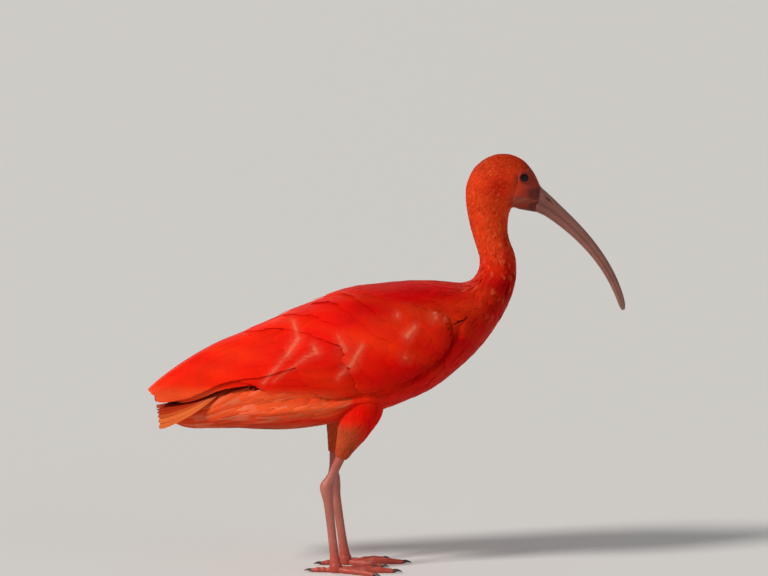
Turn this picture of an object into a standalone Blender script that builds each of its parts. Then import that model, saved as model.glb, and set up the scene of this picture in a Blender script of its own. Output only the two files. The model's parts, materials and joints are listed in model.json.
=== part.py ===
"""A life-size scarlet ibis standing on both feet with its wings folded, as a still museum model.

Lengths are in metres. +Z is up, the bird faces +X and its right side faces -Y. The origin is on the
floor, under the middle of the bird's bounding box.
"""

import math
from functools import partial

import bmesh
import bpy
import numpy as np
from mathutils import Euler, Matrix, Vector

# Air left between two nodes that meet, and the thickness of a feather's vane.
GAP = 0.0003
BED_GAP = 0.0010
VANE = 0.0006
# The sections of the outline, counted from the rump, where one node ends and the next begins.
NECK_ROOT = 12
NECK_BEND = 15
THROAT = 18
# How many rings, and how many sides, the lengths of the body have.
TORSO_RINGS, TORSO_SIDES = 30, 32
NECK_RINGS, HEAD_RINGS, HEAD_SIDES = 8, 16, 24

# The outline with its plumage, from the rump to the bill. Each row is one section: the x and z of its
# point on the back line, the x and z of its point on the belly line, half its width, and how far down
# from the back its widest place lies, as a share of its depth.
BODY_ROWS = np.array(
    [
        (-0.1350, 0.1850, -0.1350, 0.1287, 0.0250, 0.52),
        (-0.1121, 0.2060, -0.1121, 0.1277, 0.0335, 0.52),
        (-0.0869, 0.2300, -0.0869, 0.1278, 0.0420, 0.50),
        (-0.0599, 0.2470, -0.0599, 0.1310, 0.0485, 0.49),
        (-0.0329, 0.2565, -0.0329, 0.1368, 0.0525, 0.48),
        (-0.0059, 0.2601, -0.0059, 0.1450, 0.0545, 0.48),
        (0.0180, 0.2622, 0.0180, 0.1540, 0.0545, 0.48),
        (0.0400, 0.2625, 0.0420, 0.1655, 0.0525, 0.49),
        (0.0560, 0.2612, 0.0640, 0.1825, 0.0480, 0.50),
        (0.0680, 0.2605, 0.0840, 0.2020, 0.0415, 0.50),
        (0.0765, 0.2635, 0.1010, 0.2250, 0.0330, 0.50),
        (0.0815, 0.2695, 0.1110, 0.2440, 0.0255, 0.50),
        (0.0838, 0.2760, 0.1160, 0.2600, 0.0200, 0.50),
        (0.0838, 0.2830, 0.1172, 0.2740, 0.0170, 0.50),
        (0.0822, 0.2900, 0.1158, 0.2860, 0.0156, 0.50),
        (0.0779, 0.3033, 0.1100, 0.3025, 0.0148, 0.50),
        (0.0740, 0.3190, 0.1094, 0.3165, 0.0150, 0.48),
        (0.0716, 0.3350, 0.1118, 0.3275, 0.0158, 0.46),
        (0.0722, 0.3500, 0.1155, 0.3290, 0.0168, 0.44),
        (0.0800, 0.3660, 0.1195, 0.3277, 0.0176, 0.42),
        (0.0950, 0.3760, 0.1235, 0.3268, 0.0176, 0.42),
        (0.1100, 0.3773, 0.1270, 0.3262, 0.0164, 0.44),
        (0.1230, 0.3718, 0.1300, 0.3257, 0.0142, 0.46),
        (0.1325, 0.3608, 0.1328, 0.3252, 0.0116, 0.48),
        (0.1385, 0.3484, 0.1350, 0.3249, 0.0092, 0.50),
    ]
)

# The outline over the folded wings, from the wing tips to the shoulders, in the same columns.
MANTLE_ROWS = np.array(
    [
        (-0.2160, 0.1632, -0.2160, 0.1460, 0.0085, 0.50),
        (-0.2039, 0.1750, -0.2039, 0.1420, 0.0138, 0.52),
        (-0.1814, 0.1925, -0.1814, 0.1380, 0.0210, 0.50),
        (-0.1544, 0.2092, -0.1544, 0.1320, 0.0285, 0.48),
        (-0.1319, 0.2192, -0.1319, 0.1290, 0.0345, 0.46),
        (-0.1121, 0.2275, -0.1121, 0.1275, 0.0395, 0.45),
        (-0.0869, 0.2385, -0.0869, 0.1278, 0.0450, 0.46),
        (-0.0599, 0.2486, -0.0599, 0.1310, 0.0500, 0.47),
        (-0.0329, 0.2567, -0.0329, 0.1368, 0.0535, 0.48),
        (-0.0059, 0.2603, -0.0059, 0.1450, 0.0555, 0.48),
        (0.0180, 0.2624, 0.0180, 0.1540, 0.0555, 0.48),
        (0.0400, 0.2627, 0.0420, 0.1655, 0.0535, 0.49),
        (0.0560, 0.2614, 0.0640, 0.1825, 0.0490, 0.50),
        (0.0680, 0.2607, 0.0840, 0.2020, 0.0425, 0.50),
    ]
)

# The folded wing: x of the middle of the section that it lies on, the angles round that section of its
# upper and lower edges, in degrees from the back, and how deep it beds into the outline there.
WING_ROWS = np.array(
    [
        (-0.2150, 0.0, 104.0, 0.0042),
        (-0.2050, 0.0, 107.0, 0.0052),
        (-0.1805, 0.0, 108.0, 0.0066),
        (-0.1481, 0.0, 96.0, 0.0078),
        (-0.1031, 0.0, 109.0, 0.0084),
        (-0.0550, 0.0, 121.0, 0.0085),
        (-0.0300, 12.0, 125.5, 0.0085),
        (0.0000, 29.0, 127.0, 0.0084),
        (0.0234, 46.0, 123.0, 0.0080),
        (0.0371, 54.0, 118.0, 0.0078),
        (0.0480, 60.0, 112.0, 0.0072),
        (0.0560, 66.0, 103.0, 0.0062),
        (0.0600, 76.0, 93.0, 0.0050),
    ]
)
BED_MARGIN = 0.0070  # how far outside the wing's edge the body still lies under it
SHADE = 0.011  # and how much further it takes to come back to its own outline
BACK_MEETS = -0.0300  # behind this x the two wings meet over the back
MIDLINE = 0.0012  # how near the middle of the back a wing comes

# The wing's solid core under its coverts: x, and its thickness there.
CORE_ROWS = np.array(
    [
        (-0.1700, 0.0009),
        (-0.1200, 0.0010),
        (-0.0850, 0.0013),
        (-0.0620, 0.0026),
        (-0.0450, 0.0045),
        (-0.0100, 0.0060),
        (0.0200, 0.0066),
        (0.0400, 0.0062),
        (0.0600, 0.0040),
    ]
)

# Tiers of feathers on one wing, from the lowest layer to the highest. Each has its number of feathers,
# the places of the root and the tip of its first and its last feather, and the heights over the wing's
# bed of the roots, of the first tip and of the last one. A place is x, and the share of the way round
# from the wing's upper edge to its lower one.
TIERS = {
    "primary": (2, (-0.10, 0.86), (-0.104, 0.74), (-0.2010, 0.98), (-0.2070, 0.88), 0.0004, 0.0002, 0.0004),
    "secondary": (5, (-0.056, 0.92), (-0.064, 0.50), (-0.1120, 0.95), (-0.1840, 0.66), 0.0016, 0.0016, 0.0014),
    "tertial": (4, (-0.044, 0.60), (-0.044, 0.10), (-0.2075, 0.80), (-0.2145, 0.16), 0.0030, 0.0036, 0.0036),
    "greater": (6, (-0.016, 0.90), (-0.034, 0.42), (-0.0700, 0.94), (-0.0990, 0.48), 0.0036, 0.0040, 0.0056),
    "median": (6, (0.016, 0.88), (-0.002, 0.36), (-0.0280, 0.92), (-0.0500, 0.42), 0.0050, 0.0062, 0.0066),
    "lesser": (5, (0.042, 0.84), (0.026, 0.36), (0.0060, 0.88), (-0.0120, 0.38), 0.0040, 0.0076, 0.0076),
    "scapular": (5, (0.012, 0.34), (-0.020, 0.04), (-0.0500, 0.40), (-0.0980, 0.08), 0.0040, 0.0064, 0.0060),
}
VANE_RISE = 0.0013  # how far each feather's lower edge stands over its upper one
VANE_OVERLAP = 1.42  # width of a feather over the distance to the next one
LONE_SHARE = 0.20  # width of a tier of two, as a share of the wing
CORE_LENGTHS = 12
CORE_WIDTHS = 8
LONG_FEATHER = 0.090
TIP_ROUND = 0.0030  # how far a vane's edges stay back from its tip
# Steps along a vane, as shares of its length, and its width there as a share of its full width.
LONG_VANE = ((0.0, 0.50), (0.30, 0.86), (0.65, 1.0), (0.90, 0.84), (1.0, 0.32))
SHORT_VANE = ((0.0, 0.56), (0.42, 0.96), (0.86, 0.90), (1.0, 0.34))

# Bill: its centre line starts at the middle of the head's front face and turns down towards the tip.
BILL_LENGTH = 0.1290
BILL_START = math.radians(-37.5)
BILL_TURN = math.radians(-39.5)
BILL_TURN_POWER = 1.6
BILL_RINGS, BILL_SIDES = 23, 8
BILL_SETTLE = 0.12  # share of its length over which the bill's sections turn square to its line
# Share of the bill's length, depth, half width, and the upper half's share of the depth.
BILL_ROWS = np.array(
    [
        (0.00, 0.0238, 0.0092, 0.60),
        (0.08, 0.0180, 0.0076, 0.54),
        (0.20, 0.0148, 0.0062, 0.50),
        (0.45, 0.0114, 0.0049, 0.50),
        (0.70, 0.0090, 0.0041, 0.50),
        (0.90, 0.0071, 0.0035, 0.50),
        (0.97, 0.0056, 0.0029, 0.52),
        (1.00, 0.0030, 0.0016, 0.55),
    ]
)
NOSTRIL_SIZES = (0.0042, 0.0014, 0.0008)
NOSTRIL_RING = 3

# The line of the mouth goes on behind the bill as a shallow groove in each side of the head.
GAPE_CENTRE = Vector((0.1265, 0.0113, 0.3353))
GAPE_SIZES = (0.0135, 0.0014, 0.0005)
GAPE_SLOPE = math.radians(6.5)
GAPE_TURN = math.radians(-13.0)

# Each eye sits in a socket. Its spot is the middle of its opening on the left side of the head.
EYE_SPOT = Vector((0.1238, 0.0140, 0.3577))
EYE_AXIS = Vector((0.33, 0.92, 0.19)).normalized()
EYE_RADIUS = 0.0055
EYE_SINK = 0.0041
LID_RADIUS = 0.0043
LID_WIDTH = 0.0011
LID_HEIGHT = 0.0009
LID_STEPS = 16
LID_SIDES = 6

# Tail: its feathers fan from the rump, and its surface falls to both sides from a ridge.
TAIL_FEATHERS = 12
TAIL_ROOT_X = -0.1400
TAIL_TIP_X = -0.2075
TAIL_FEATHER_WIDTH = 0.0104
TAIL_SPREAD = 0.0056
TAIL_RISE = 0.0019
CENTRE_LIFT = 0.0010  # the left one of the middle pair lies over the right one
TAIL_ROWS = np.array(
    [
        (-0.1350, 0.1848, 0.1289, 0.0248),
        (-0.1450, 0.1740, 0.1287, 0.0240),
        (-0.1570, 0.1640, 0.1290, 0.0215),
        (-0.1680, 0.1550, 0.1293, 0.0178),
        (-0.1780, 0.1497, 0.1302, 0.0132),
        (-0.1860, 0.1457, 0.1325, 0.0085),
        (-0.1920, 0.1427, 0.1362, 0.0040),
    ]
)
RIDGE_ROWS = np.array([(-0.2150, 0.1448), (-0.1800, 0.1525), (-0.1550, 0.1622), (-0.1350, 0.1715)])
TAIL_ARCH = 14.0

# Legs, for the right side. Each leg differs a little in where its joints stand.
LEG_Y = 0.0215
LEG_PLACES = {
    "right": {"hip": -0.0200, "cuff": (-0.0410, 0.1050), "ankle": (-0.0536, 0.0780), "toes": -0.0455},
    "left": {"hip": -0.0340, "cuff": (-0.0470, 0.1030), "ankle": (-0.0478, 0.0785), "toes": -0.0370},
}
SIDES = {"right": -1, "left": 1}
TOE_ROOT_Z = 0.0048
HIP_Z = 0.152
HIP_RISE = 0.050  # the thigh's line comes down from this far over the hip
# Share of the way along each length of the leg, and its radius fore and aft and sideways.
THIGH_ROWS = (
    (0.00, 0.0178, 0.0150),
    (0.25, 0.0168, 0.0144),
    (0.42, 0.0150, 0.0130),
    (0.56, 0.0129, 0.0112),
    (0.70, 0.0104, 0.0092),
    (0.84, 0.0081, 0.0074),
    (0.95, 0.0064, 0.0060),
    (1.00, 0.0054, 0.0052),
)
SHANK_ROWS = (
    (0.00, 0.0044, 0.0038),
    (0.50, 0.0040, 0.0035),
    (0.72, 0.0048, 0.0042),
    (0.88, 0.0059, 0.0052),
    (1.00, 0.0060, 0.0055),
)
TARSUS_ROWS = (
    (0.00, 0.0060, 0.0055),
    (0.08, 0.0058, 0.0050),
    (0.20, 0.0044, 0.0037),
    (0.60, 0.0039, 0.0032),
    (0.86, 0.0042, 0.0036),
    (0.92, 0.0047, 0.0044),
)
# The sole under the tarsus: height over the toes' root, and its radius fore and aft and sideways.
SOLE_ROWS = (
    (0.0012, 0.0058, 0.0056),
    (-0.0040, 0.0048, 0.0048),
)
THIGH_SIDES, SHANK_SIDES, SOLE_SIDES, TOE_SIDES, CLAW_SIDES = 16, 12, 14, 10, 7
WEB_REACH = 0.46
WEB_TOP = 0.0030
WEB_THICKNESS = 0.0014
WEB_MIDDLE = 0.80  # the web's reach along the middle toe, and how far its edge is hollowed
# Toes: turn from straight ahead, towards the bird's middle; length to the claw; claw's length; girth.
TOES = {
    "middle": (-3.0, 0.0520, 0.0085, 0.0030),
    "inner": (27.0, 0.0370, 0.0075, 0.0027),
    "outer": (-33.0, 0.0410, 0.0075, 0.0028),
    "hind": (172.0, 0.0220, 0.0075, 0.0025),
}
# Share of the way along a toe, and its radius there as a share of its girth.
TOE_SHAPE = ((0.0, 1.0), (0.14, 1.05), (0.38, 0.92), (0.62, 0.98), (0.86, 0.84), (1.0, 0.62))
TOE_SET = 0.90  # height of a toe's middle over the floor, as a share of its radius
CLAW_SHARES = (0.0, 0.35, 0.7, 1.0)
CLAW_TIP = 0.00025
CLAW_ARCH = 0.0008
CLAW_END_Z = 0.0012

COLOURS = {
    "plumage": ((0.72, 0.030, 0.006, 1.0), 0.62),
    "flight": ((0.80, 0.040, 0.006, 1.0), 0.50),
    "bill": ((0.33, 0.100, 0.070, 1.0), 0.42),
    "leg": ((0.48, 0.130, 0.110, 1.0), 0.50),
    "claw": ((0.060, 0.030, 0.026, 1.0), 0.40),
    "eye": ((0.010, 0.004, 0.004, 1.0), 0.08),
}


def smooth(keys, values, at):
    """Values at a place between the keys, on a curve that passes through each of them."""
    at = min(max(at, keys[0]), keys[-1])
    i = min(max(int(np.searchsorted(keys, at, side="right")) - 1, 0), len(keys) - 2)
    span = keys[i + 1] - keys[i]
    t = (at - keys[i]) / span
    here, there = values[i], values[i + 1]
    before, after = max(i - 1, 0), min(i + 2, len(keys) - 1)
    leave = (there - values[before]) / (keys[i + 1] - keys[before]) * span
    arrive = (values[after] - here) / (keys[after] - keys[i]) * span
    return (
        (2 * t**3 - 3 * t**2 + 1) * here
        + (t**3 - 2 * t**2 + t) * leave
        + (3 * t**2 - 2 * t**3) * there
        + (t**3 - t**2) * arrive
    )


def by_column(rows, at):
    """A table's other columns at a value of its first one."""
    return smooth(rows[:, 0], rows[:, 1:], at)


def ease(share):
    share = min(max(share, 0.0), 1.0)
    return share * share * (3 - 2 * share)


class Form:
    """A body outline: a run of sections, each an egg shape in the plane of its back and belly points."""

    def __init__(self, rows):
        self.rows = rows
        middles = (rows[:, 0:2] + rows[:, 2:4]) / 2
        steps = np.linalg.norm(np.diff(middles, axis=0), axis=1)
        self.keys = np.concatenate([[0.0], np.cumsum(steps)])
        last = self.keys[min(NECK_ROOT, len(rows) - 1)]
        self.fine_keys = np.linspace(0, last, 8 * len(rows))
        self.middles = [self.middle(key) for key in self.fine_keys]

    def middle(self, key):
        """The x of the middle of a section."""
        back_x, _, belly_x, _, _, _ = smooth(self.keys, self.rows, key)
        return float(back_x + belly_x) / 2

    def key_at_x(self, x):
        """The length along the outline where the middle of its section passes x, back of the neck."""
        return float(np.interp(x, self.middles, self.fine_keys))

    def section(self, key):
        back_x, back_z, belly_x, belly_z, half, widest = smooth(self.keys, self.rows, key)
        return Vector((back_x, 0, back_z)), Vector((belly_x, 0, belly_z)), half, widest

    def point(self, key, angle, side, height=0.0):
        """A point of the section, where angle 0 is the back and pi the belly, raised off the outline."""
        back, belly, half, widest = self.section(key)
        down = belly - back
        depth = down.length
        reach = widest if angle <= math.pi / 2 else 1 - widest
        share = widest - reach * math.cos(angle)
        slope = reach * depth * math.sin(angle)
        across = half * math.cos(angle)
        size = math.hypot(slope, across) or 1.0
        out_down, out_side = -across / size, slope / size
        place = back + down * share + down.normalized() * (out_down * height)
        place.y = side * (half * math.sin(angle) + out_side * height)
        return place

    def ahead(self, key):
        """The direction square to the section, towards the bill."""
        back, belly, _, _ = self.section(key)
        down = (belly - back).normalized()
        return Vector((-down.z, 0, down.x))


BODY = Form(BODY_ROWS)
MANTLE = Form(MANTLE_ROWS)


def new_object(name, mesh, material):
    obj = bpy.data.objects.new(name, mesh)
    PARTS.objects.link(obj)
    mesh.materials.append(material)
    mesh.shade_smooth()
    return obj


def closed_mesh(name, points, faces):
    mesh = bpy.data.meshes.new(name)
    shape = bmesh.new()
    corners = [shape.verts.new(p) for p in points]
    for face in faces:
        shape.faces.new([corners[i] for i in face])
    bmesh.ops.recalc_face_normals(shape, faces=shape.faces)
    shape.to_mesh(mesh)
    shape.free()
    return mesh


def loft(name, rings):
    """A closed mesh through rings of equally many points, with a flat cap at either end."""
    count = len(rings[0])
    points = [p for ring in rings for p in ring]
    faces = []
    for i in range(len(rings) - 1):
        for j in range(count):
            k = (j + 1) % count
            low, high = i * count, (i + 1) * count
            faces.append((low + j, low + k, high + k, high + j))
    faces.append(tuple(range(count)))
    faces.append(tuple(range(len(points) - count, len(points))))
    return closed_mesh(name, points, faces)


def plate(name, tops, bottoms):
    """A closed thin plate between two like grids of points, cut into triangles alike on both faces."""
    rows, columns = len(tops), len(tops[0])
    points = [p for row in tops for p in row] + [p for row in bottoms for p in row]
    under = rows * columns
    faces = []
    for i in range(rows - 1):
        for j in range(columns - 1):
            a, b = i * columns + j, i * columns + j + 1
            c, d = b + columns, a + columns
            faces += [(a, b, c), (a, c, d)]
            faces += [(under + c, under + b, under + a), (under + d, under + c, under + a)]
    rim = [(0, j) for j in range(columns - 1)]
    rim += [(i, columns - 1) for i in range(rows - 1)]
    rim += [(rows - 1, j) for j in range(columns - 1, 0, -1)]
    rim += [(i, 0) for i in range(rows - 1, 0, -1)]
    for (i, j), (k, m) in zip(rim, rim[1:] + rim[:1]):
        a, b = i * columns + j, k * columns + m
        faces += [(a, under + a, under + b), (a, under + b, b)]
    return closed_mesh(name, points, faces)


def helper(name, mesh, collection):
    """An object used only to cut or join others."""
    obj = bpy.data.objects.new(name, mesh)
    obj.hide_render = True
    obj.display_type = "WIRE"
    collection.objects.link(obj)
    return obj


def boolean(obj, operation, meshes, solver="EXACT"):
    """Joins meshes to an object or cuts them from it, applies that, and removes them."""
    pieces = bpy.data.collections.new(obj.name + "_pieces")
    bpy.context.scene.collection.children.link(pieces)
    for i, mesh in enumerate(meshes):
        helper(f"{obj.name}_piece_{i}", mesh, pieces)
    modifier = obj.modifiers.new("join" if operation == "UNION" else "cut", "BOOLEAN")
    modifier.operation = operation
    modifier.operand_type = "COLLECTION"
    modifier.collection = pieces
    modifier.solver = solver
    bpy.context.view_layer.update()
    graph = bpy.context.evaluated_depsgraph_get()
    made = bpy.data.meshes.new_from_object(obj.evaluated_get(graph))
    obj.modifiers.clear()
    old = obj.data
    obj.data = made
    bpy.data.meshes.remove(old)
    for piece in list(pieces.objects):
        bpy.data.meshes.remove(piece.data)
    bpy.data.collections.remove(pieces)
    keep_largest(obj)


def keep_largest(obj):
    """Leaves only the largest closed surface of a mesh, and no sealed hollow inside it."""
    shape = bmesh.new()
    shape.from_mesh(obj.data)
    left = set(shape.verts)
    islands = []
    while left:
        island, front = set(), [left.pop()]
        while front:
            vert = front.pop()
            island.add(vert)
            for edge in vert.link_edges:
                other = edge.other_vert(vert)
                if other in left:
                    left.discard(other)
                    front.append(other)
        islands.append(island)
    islands.sort(key=len, reverse=True)
    loose = [v for island in islands[1:] for v in island]
    bmesh.ops.delete(shape, geom=loose, context="VERTS")
    bmesh.ops.triangulate(shape, faces=shape.faces)
    shape.to_mesh(obj.data)
    shape.free()
    obj.data.shade_smooth()


def material(name):
    colour, roughness = COLOURS[name]
    made = bpy.data.materials.new(name)
    made.use_nodes = True
    shader = made.node_tree.nodes["Principled BSDF"]
    shader.inputs["Base Color"].default_value = colour
    shader.inputs["Roughness"].default_value = roughness
    shader.inputs["Metallic"].default_value = 0.0
    made.diffuse_color = colour
    return made


def wing_edges(x):
    """The angles of the wing's upper and lower edge on the section at x, and its depth there."""
    x = min(max(x, WING_ROWS[0, 0]), WING_ROWS[-1, 0])
    upper, lower, depth = by_column(WING_ROWS, x)
    half = MANTLE.section(MANTLE.key_at_x(x))[2]
    midline = math.asin(min(MIDLINE / half, 1.0))
    return max(math.radians(upper), midline), math.radians(lower), float(depth)


def bed_depth(x, angle):
    """How far the body lies under its outline where the wing covers it."""
    top, low, depth = wing_edges(x)
    radius = MANTLE.section(MANTLE.key_at_x(x))[2]
    above = 0.0 if x < BACK_MEETS else top - angle
    beyond = max(above, angle - low, 0.0) * radius
    away = math.hypot(beyond, max(x - WING_ROWS[-1, 0], 0.0))
    return (depth + BED_GAP) * (1 - ease((away - BED_MARGIN) / SHADE))


def body_ring(key, sides, shift=0.0, grow=0.0, bedded=False):
    """One closed ring of the body, moved along it by shift and grown outwards."""
    angles = [2 * math.pi * i / sides for i in range(sides)]
    move = BODY.ahead(key) * shift
    middle = BODY.middle(key)
    ring = []
    for angle in angles:
        side = 1 if angle <= math.pi else -1
        turn = angle if angle <= math.pi else 2 * math.pi - angle
        height = grow
        if bedded:
            height -= bed_depth(middle, turn)
        ring.append(BODY.point(key, turn, side, height) + move)
    return ring


def body_rings(first, last, count, sides, **options):
    """Rings from one key to another, with half of the gap left at either end."""
    keys = np.linspace(first, last, count)
    shifts = [GAP / 2] + [0.0] * (count - 2) + [-GAP / 2]
    return [body_ring(k, sides, shift=s, **options) for k, s in zip(keys, shifts)]


def torso_mesh(name, grow=0.0):
    root = BODY.keys[NECK_ROOT]
    return loft(name, body_rings(BODY.keys[0], root, TORSO_RINGS, TORSO_SIDES, grow=grow, bedded=True))


def wing_place(side, x, share, height):
    """A point over the bed of a folded wing, at a share of the way from its upper edge to its lower."""
    top, low, depth = wing_edges(x)
    angle = top + (low - top) * max(share, 0.0)
    point = MANTLE.point(MANTLE.key_at_x(x), angle, side, height - depth)
    if side * point.y < MIDLINE / 2:
        point.y = side * MIDLINE / 2
    return point


def wing_core(side):
    """The closed pad of flesh and small coverts that the wing's feathers grow from."""
    tops, bottoms = [], []
    for x in np.linspace(CORE_ROWS[0, 0], CORE_ROWS[-1, 0], CORE_LENGTHS + 1):
        thick = float(by_column(CORE_ROWS, x)[0])
        top_row, bottom_row = [], []
        for j in range(CORE_WIDTHS + 1):
            share = 0.02 + 0.96 * j / CORE_WIDTHS
            crown = (1 - (2 * share - 1) ** 4) ** 0.5
            top_row.append(wing_place(side, x, share, max(thick * crown, VANE)))
            bottom_row.append(wing_place(side, x, share, 0.0))
        tops.append(top_row)
        bottoms.append(bottom_row)
    return plate("core", tops, bottoms)


def vane_mesh(name, place, root, tip, half, heights, rise, columns, outline=LONG_VANE):
    """One feather's vane on a surface, where place(x, across, height) gives the surface's points."""
    tops, bottoms = [], []
    for step, share in outline:
        x = root[0] + (tip[0] - root[0]) * step
        centre = root[1] + (tip[1] - root[1]) * step
        lift = heights[0] + (heights[1] - heights[0]) * step
        top_row, bottom_row = [], []
        for j in range(columns + 1):
            side = 2 * j / columns - 1
            height = lift + rise * (side + 1) / 2
            back = abs(side) * TIP_ROUND * ease((step - 0.5) / 0.5)
            top_row.append(place(x + back, centre + side * share * half, height + VANE))
            bottom_row.append(place(x + back, centre + side * share * half, height))
        tops.append(top_row)
        bottoms.append(bottom_row)
    return plate(name, tops, bottoms)


def tier_vanes(side, name):
    """The vanes of one tier of a wing."""
    count, root_a, root_b, tip_a, tip_b, root_height, height_a, height_b = TIERS[name]
    spacing = abs(tip_b[1] - tip_a[1]) / (count - 1)
    half = max(spacing * VANE_OVERLAP, LONE_SHARE if count == 2 else 0.0) / 2
    columns = 1 if name in ("primary", "lesser") else 2
    place = partial(wing_place, side)
    vanes = []
    for i in range(count):
        t = i / (count - 1)
        root = (root_a[0] + (root_b[0] - root_a[0]) * t, root_a[1] + (root_b[1] - root_a[1]) * t)
        tip = (tip_a[0] + (tip_b[0] - tip_a[0]) * t, tip_a[1] + (tip_b[1] - tip_a[1]) * t)
        wide = half * (1 + 0.04 * math.sin(2.3 * i))
        heights = (root_height, height_a + (height_b - height_a) * t)
        outline = LONG_VANE if root[0] - tip[0] > LONG_FEATHER else SHORT_VANE
        vane = vane_mesh(f"{name}_{i}", place, root, tip, wide, heights, VANE_RISE, columns, outline)
        vanes.append(vane)
    return vanes


def make_wing(side_name, feathers):
    side = SIDES[side_name]
    wing = new_object(f"wing_{side_name}", wing_core(side), feathers)
    vanes = [vane for name in TIERS for vane in tier_vanes(side, name)]
    boolean(wing, "UNION", vanes, solver="MANIFOLD")
    return wing


def tail_place(x, y, height):
    """A point over the tail's arched surface, where y is the distance from the bird's middle plane."""
    ridge = float(by_column(RIDGE_ROWS, x)[0])
    return Vector((x, y, ridge - TAIL_ARCH * y * y + height))


def make_tail(feathers):
    rings = []
    for i, row in enumerate(TAIL_ROWS):
        x, top, low, half = row
        if i == 0:
            x -= GAP
        middle, depth = (top + low) / 2, (top - low) / 2
        rings.append(
            [
                Vector((x, half * math.sin(a), middle + depth * math.cos(a)))
                for a in np.linspace(0, 2 * math.pi, 24, endpoint=False)
            ]
        )
    tail = new_object("tail", loft("tail", rings), feathers)
    vanes = []
    for i in range(TAIL_FEATHERS):
        rank = i - (TAIL_FEATHERS - 1) / 2
        root = (TAIL_ROOT_X, rank * 0.0020)
        tip = (TAIL_TIP_X + 0.0006 * abs(rank), rank * TAIL_SPREAD)
        lift = CENTRE_LIFT if rank == 0.5 else 0.0
        if rank > 0:
            heights, rise = (lift, lift), TAIL_RISE
        else:
            heights, rise = (TAIL_RISE, TAIL_RISE), -TAIL_RISE
        half = TAIL_FEATHER_WIDTH / 2
        vanes.append(vane_mesh(f"rectrix_{i}", tail_place, root, tip, half, heights, rise, 1))
    boolean(tail, "UNION", vanes, solver="MANIFOLD")
    return tail


def bill_frames():
    """Points along the bill's centre line, with the direction that points out of its top there."""
    back, belly, _, _ = BODY.section(BODY.keys[-1])
    place = (back + belly) / 2
    base_up = (back - belly).normalized()
    frames = []
    steps = 10 * (BILL_RINGS - 1)
    for i in range(steps + 1):
        share = i / steps
        turn = BILL_START + BILL_TURN * share**BILL_TURN_POWER
        ahead = Vector((math.cos(turn), 0, math.sin(turn)))
        square = Vector((-ahead.z, 0, ahead.x))
        if i % 10 == 0:
            up = base_up.lerp(square, ease(share / BILL_SETTLE)).normalized()
            frames.append((share, place.copy(), up))
        place += ahead * (BILL_LENGTH / steps)
    return frames


def make_bill(upper, horn):
    """Half of the bill: a dome over, or under, the line of the mouth."""
    name = "bill_upper" if upper else "bill_lower"
    rings = []
    for i, (share, place, up) in enumerate(bill_frames()):
        depth, half, top_share = by_column(BILL_ROWS, share)
        mouth = place + up * (depth / 2 - depth * top_share)
        height = depth * top_share if upper else depth * (1 - top_share)
        out = up if upper else -up
        start = BODY.ahead(BODY.keys[-1]) * GAP / 2 if i == 0 else Vector()
        ring = []
        for j in range(BILL_SIDES + 1):
            angle = math.pi * j / BILL_SIDES
            point = mouth + start + out * (GAP / 2 + (height - GAP / 2) * math.sin(angle) ** 0.9)
            point.y += half * math.cos(angle)
            ring.append(point)
        rings.append(ring)
    bill = new_object(name, loft(name, rings), horn)
    if upper:
        boolean(bill, "DIFFERENCE", nostril_meshes(), solver="MANIFOLD")
    return bill


def ellipsoid(name, centre, radii, tilt=0.0, turn=0.0, segments=16):
    """A closed egg shape, tilted about Y and then turned about Z."""
    mesh = bpy.data.meshes.new(name)
    shape = bmesh.new()
    bmesh.ops.create_uvsphere(shape, u_segments=segments, v_segments=segments // 2 + 2, radius=1.0)
    place = Matrix.LocRotScale(Vector(centre), Euler((0.0, tilt, turn)), Vector(radii))
    bmesh.ops.transform(shape, matrix=place, verts=shape.verts)
    shape.to_mesh(mesh)
    shape.free()
    return mesh


def nostril_meshes():
    """Two slits near the base of the upper bill."""
    share, place, up = bill_frames()[NOSTRIL_RING]
    depth, half, _ = by_column(BILL_ROWS, share)
    centre = place + up * (depth * 0.22)
    return [
        ellipsoid("nostril", (centre.x, side * half * 0.86, centre.z), NOSTRIL_SIZES, -BILL_START, 0.0, 10)
        for side in (-1, 1)
    ]


def make_head(skin):
    keys = BODY.keys
    rings = body_rings(keys[THROAT], keys[-1], HEAD_RINGS, HEAD_SIDES)
    head = new_object("head", loft("head", rings), skin)
    lids, sockets = [], []
    for side in (-1, 1):
        lids.append(lid_mesh(side))
        socket = EYE_RADIUS + GAP
        sockets.append(ellipsoid("socket", eye_centre(side), (socket, socket, socket)))
        gape = (GAPE_CENTRE.x, side * GAPE_CENTRE.y, GAPE_CENTRE.z)
        sockets.append(ellipsoid("gape", gape, GAPE_SIZES, GAPE_SLOPE, side * GAPE_TURN, 10))
    boolean(head, "UNION", lids, solver="MANIFOLD")
    boolean(head, "DIFFERENCE", sockets, solver="MANIFOLD")
    return head


def sided(point, side):
    """A point or direction of the left side, or its mirror image."""
    return Vector((point.x, side * point.y, point.z))


def eye_centre(side):
    return sided(EYE_SPOT - EYE_AXIS * EYE_SINK, side)


def lid_mesh(side):
    """The rim of skin round an eye: a flattened ring lying against the side of the head."""
    axis = sided(EYE_AXIS, side)
    ahead = Vector((0, 0, 1)).cross(axis).normalized()
    above = axis.cross(ahead)
    points, faces = [], []
    for i in range(LID_STEPS):
        turn = 2 * math.pi * i / LID_STEPS
        out = ahead * math.cos(turn) + above * math.sin(turn)
        for j in range(LID_SIDES):
            angle = 2 * math.pi * j / LID_SIDES
            reach = LID_RADIUS + LID_WIDTH * math.cos(angle)
            points.append(sided(EYE_SPOT, side) + out * reach + axis * LID_HEIGHT * math.sin(angle))
            low, high = i * LID_SIDES, (i + 1) % LID_STEPS * LID_SIDES
            k = (j + 1) % LID_SIDES
            faces.append((low + j, low + k, high + k, high + j))
    return closed_mesh("lid", points, faces)


def make_eye(side_name, glossy):
    radii = (EYE_RADIUS, EYE_RADIUS, EYE_RADIUS)
    return new_object(f"eye_{side_name}", ellipsoid("eye", eye_centre(SIDES[side_name]), radii), glossy)


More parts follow.
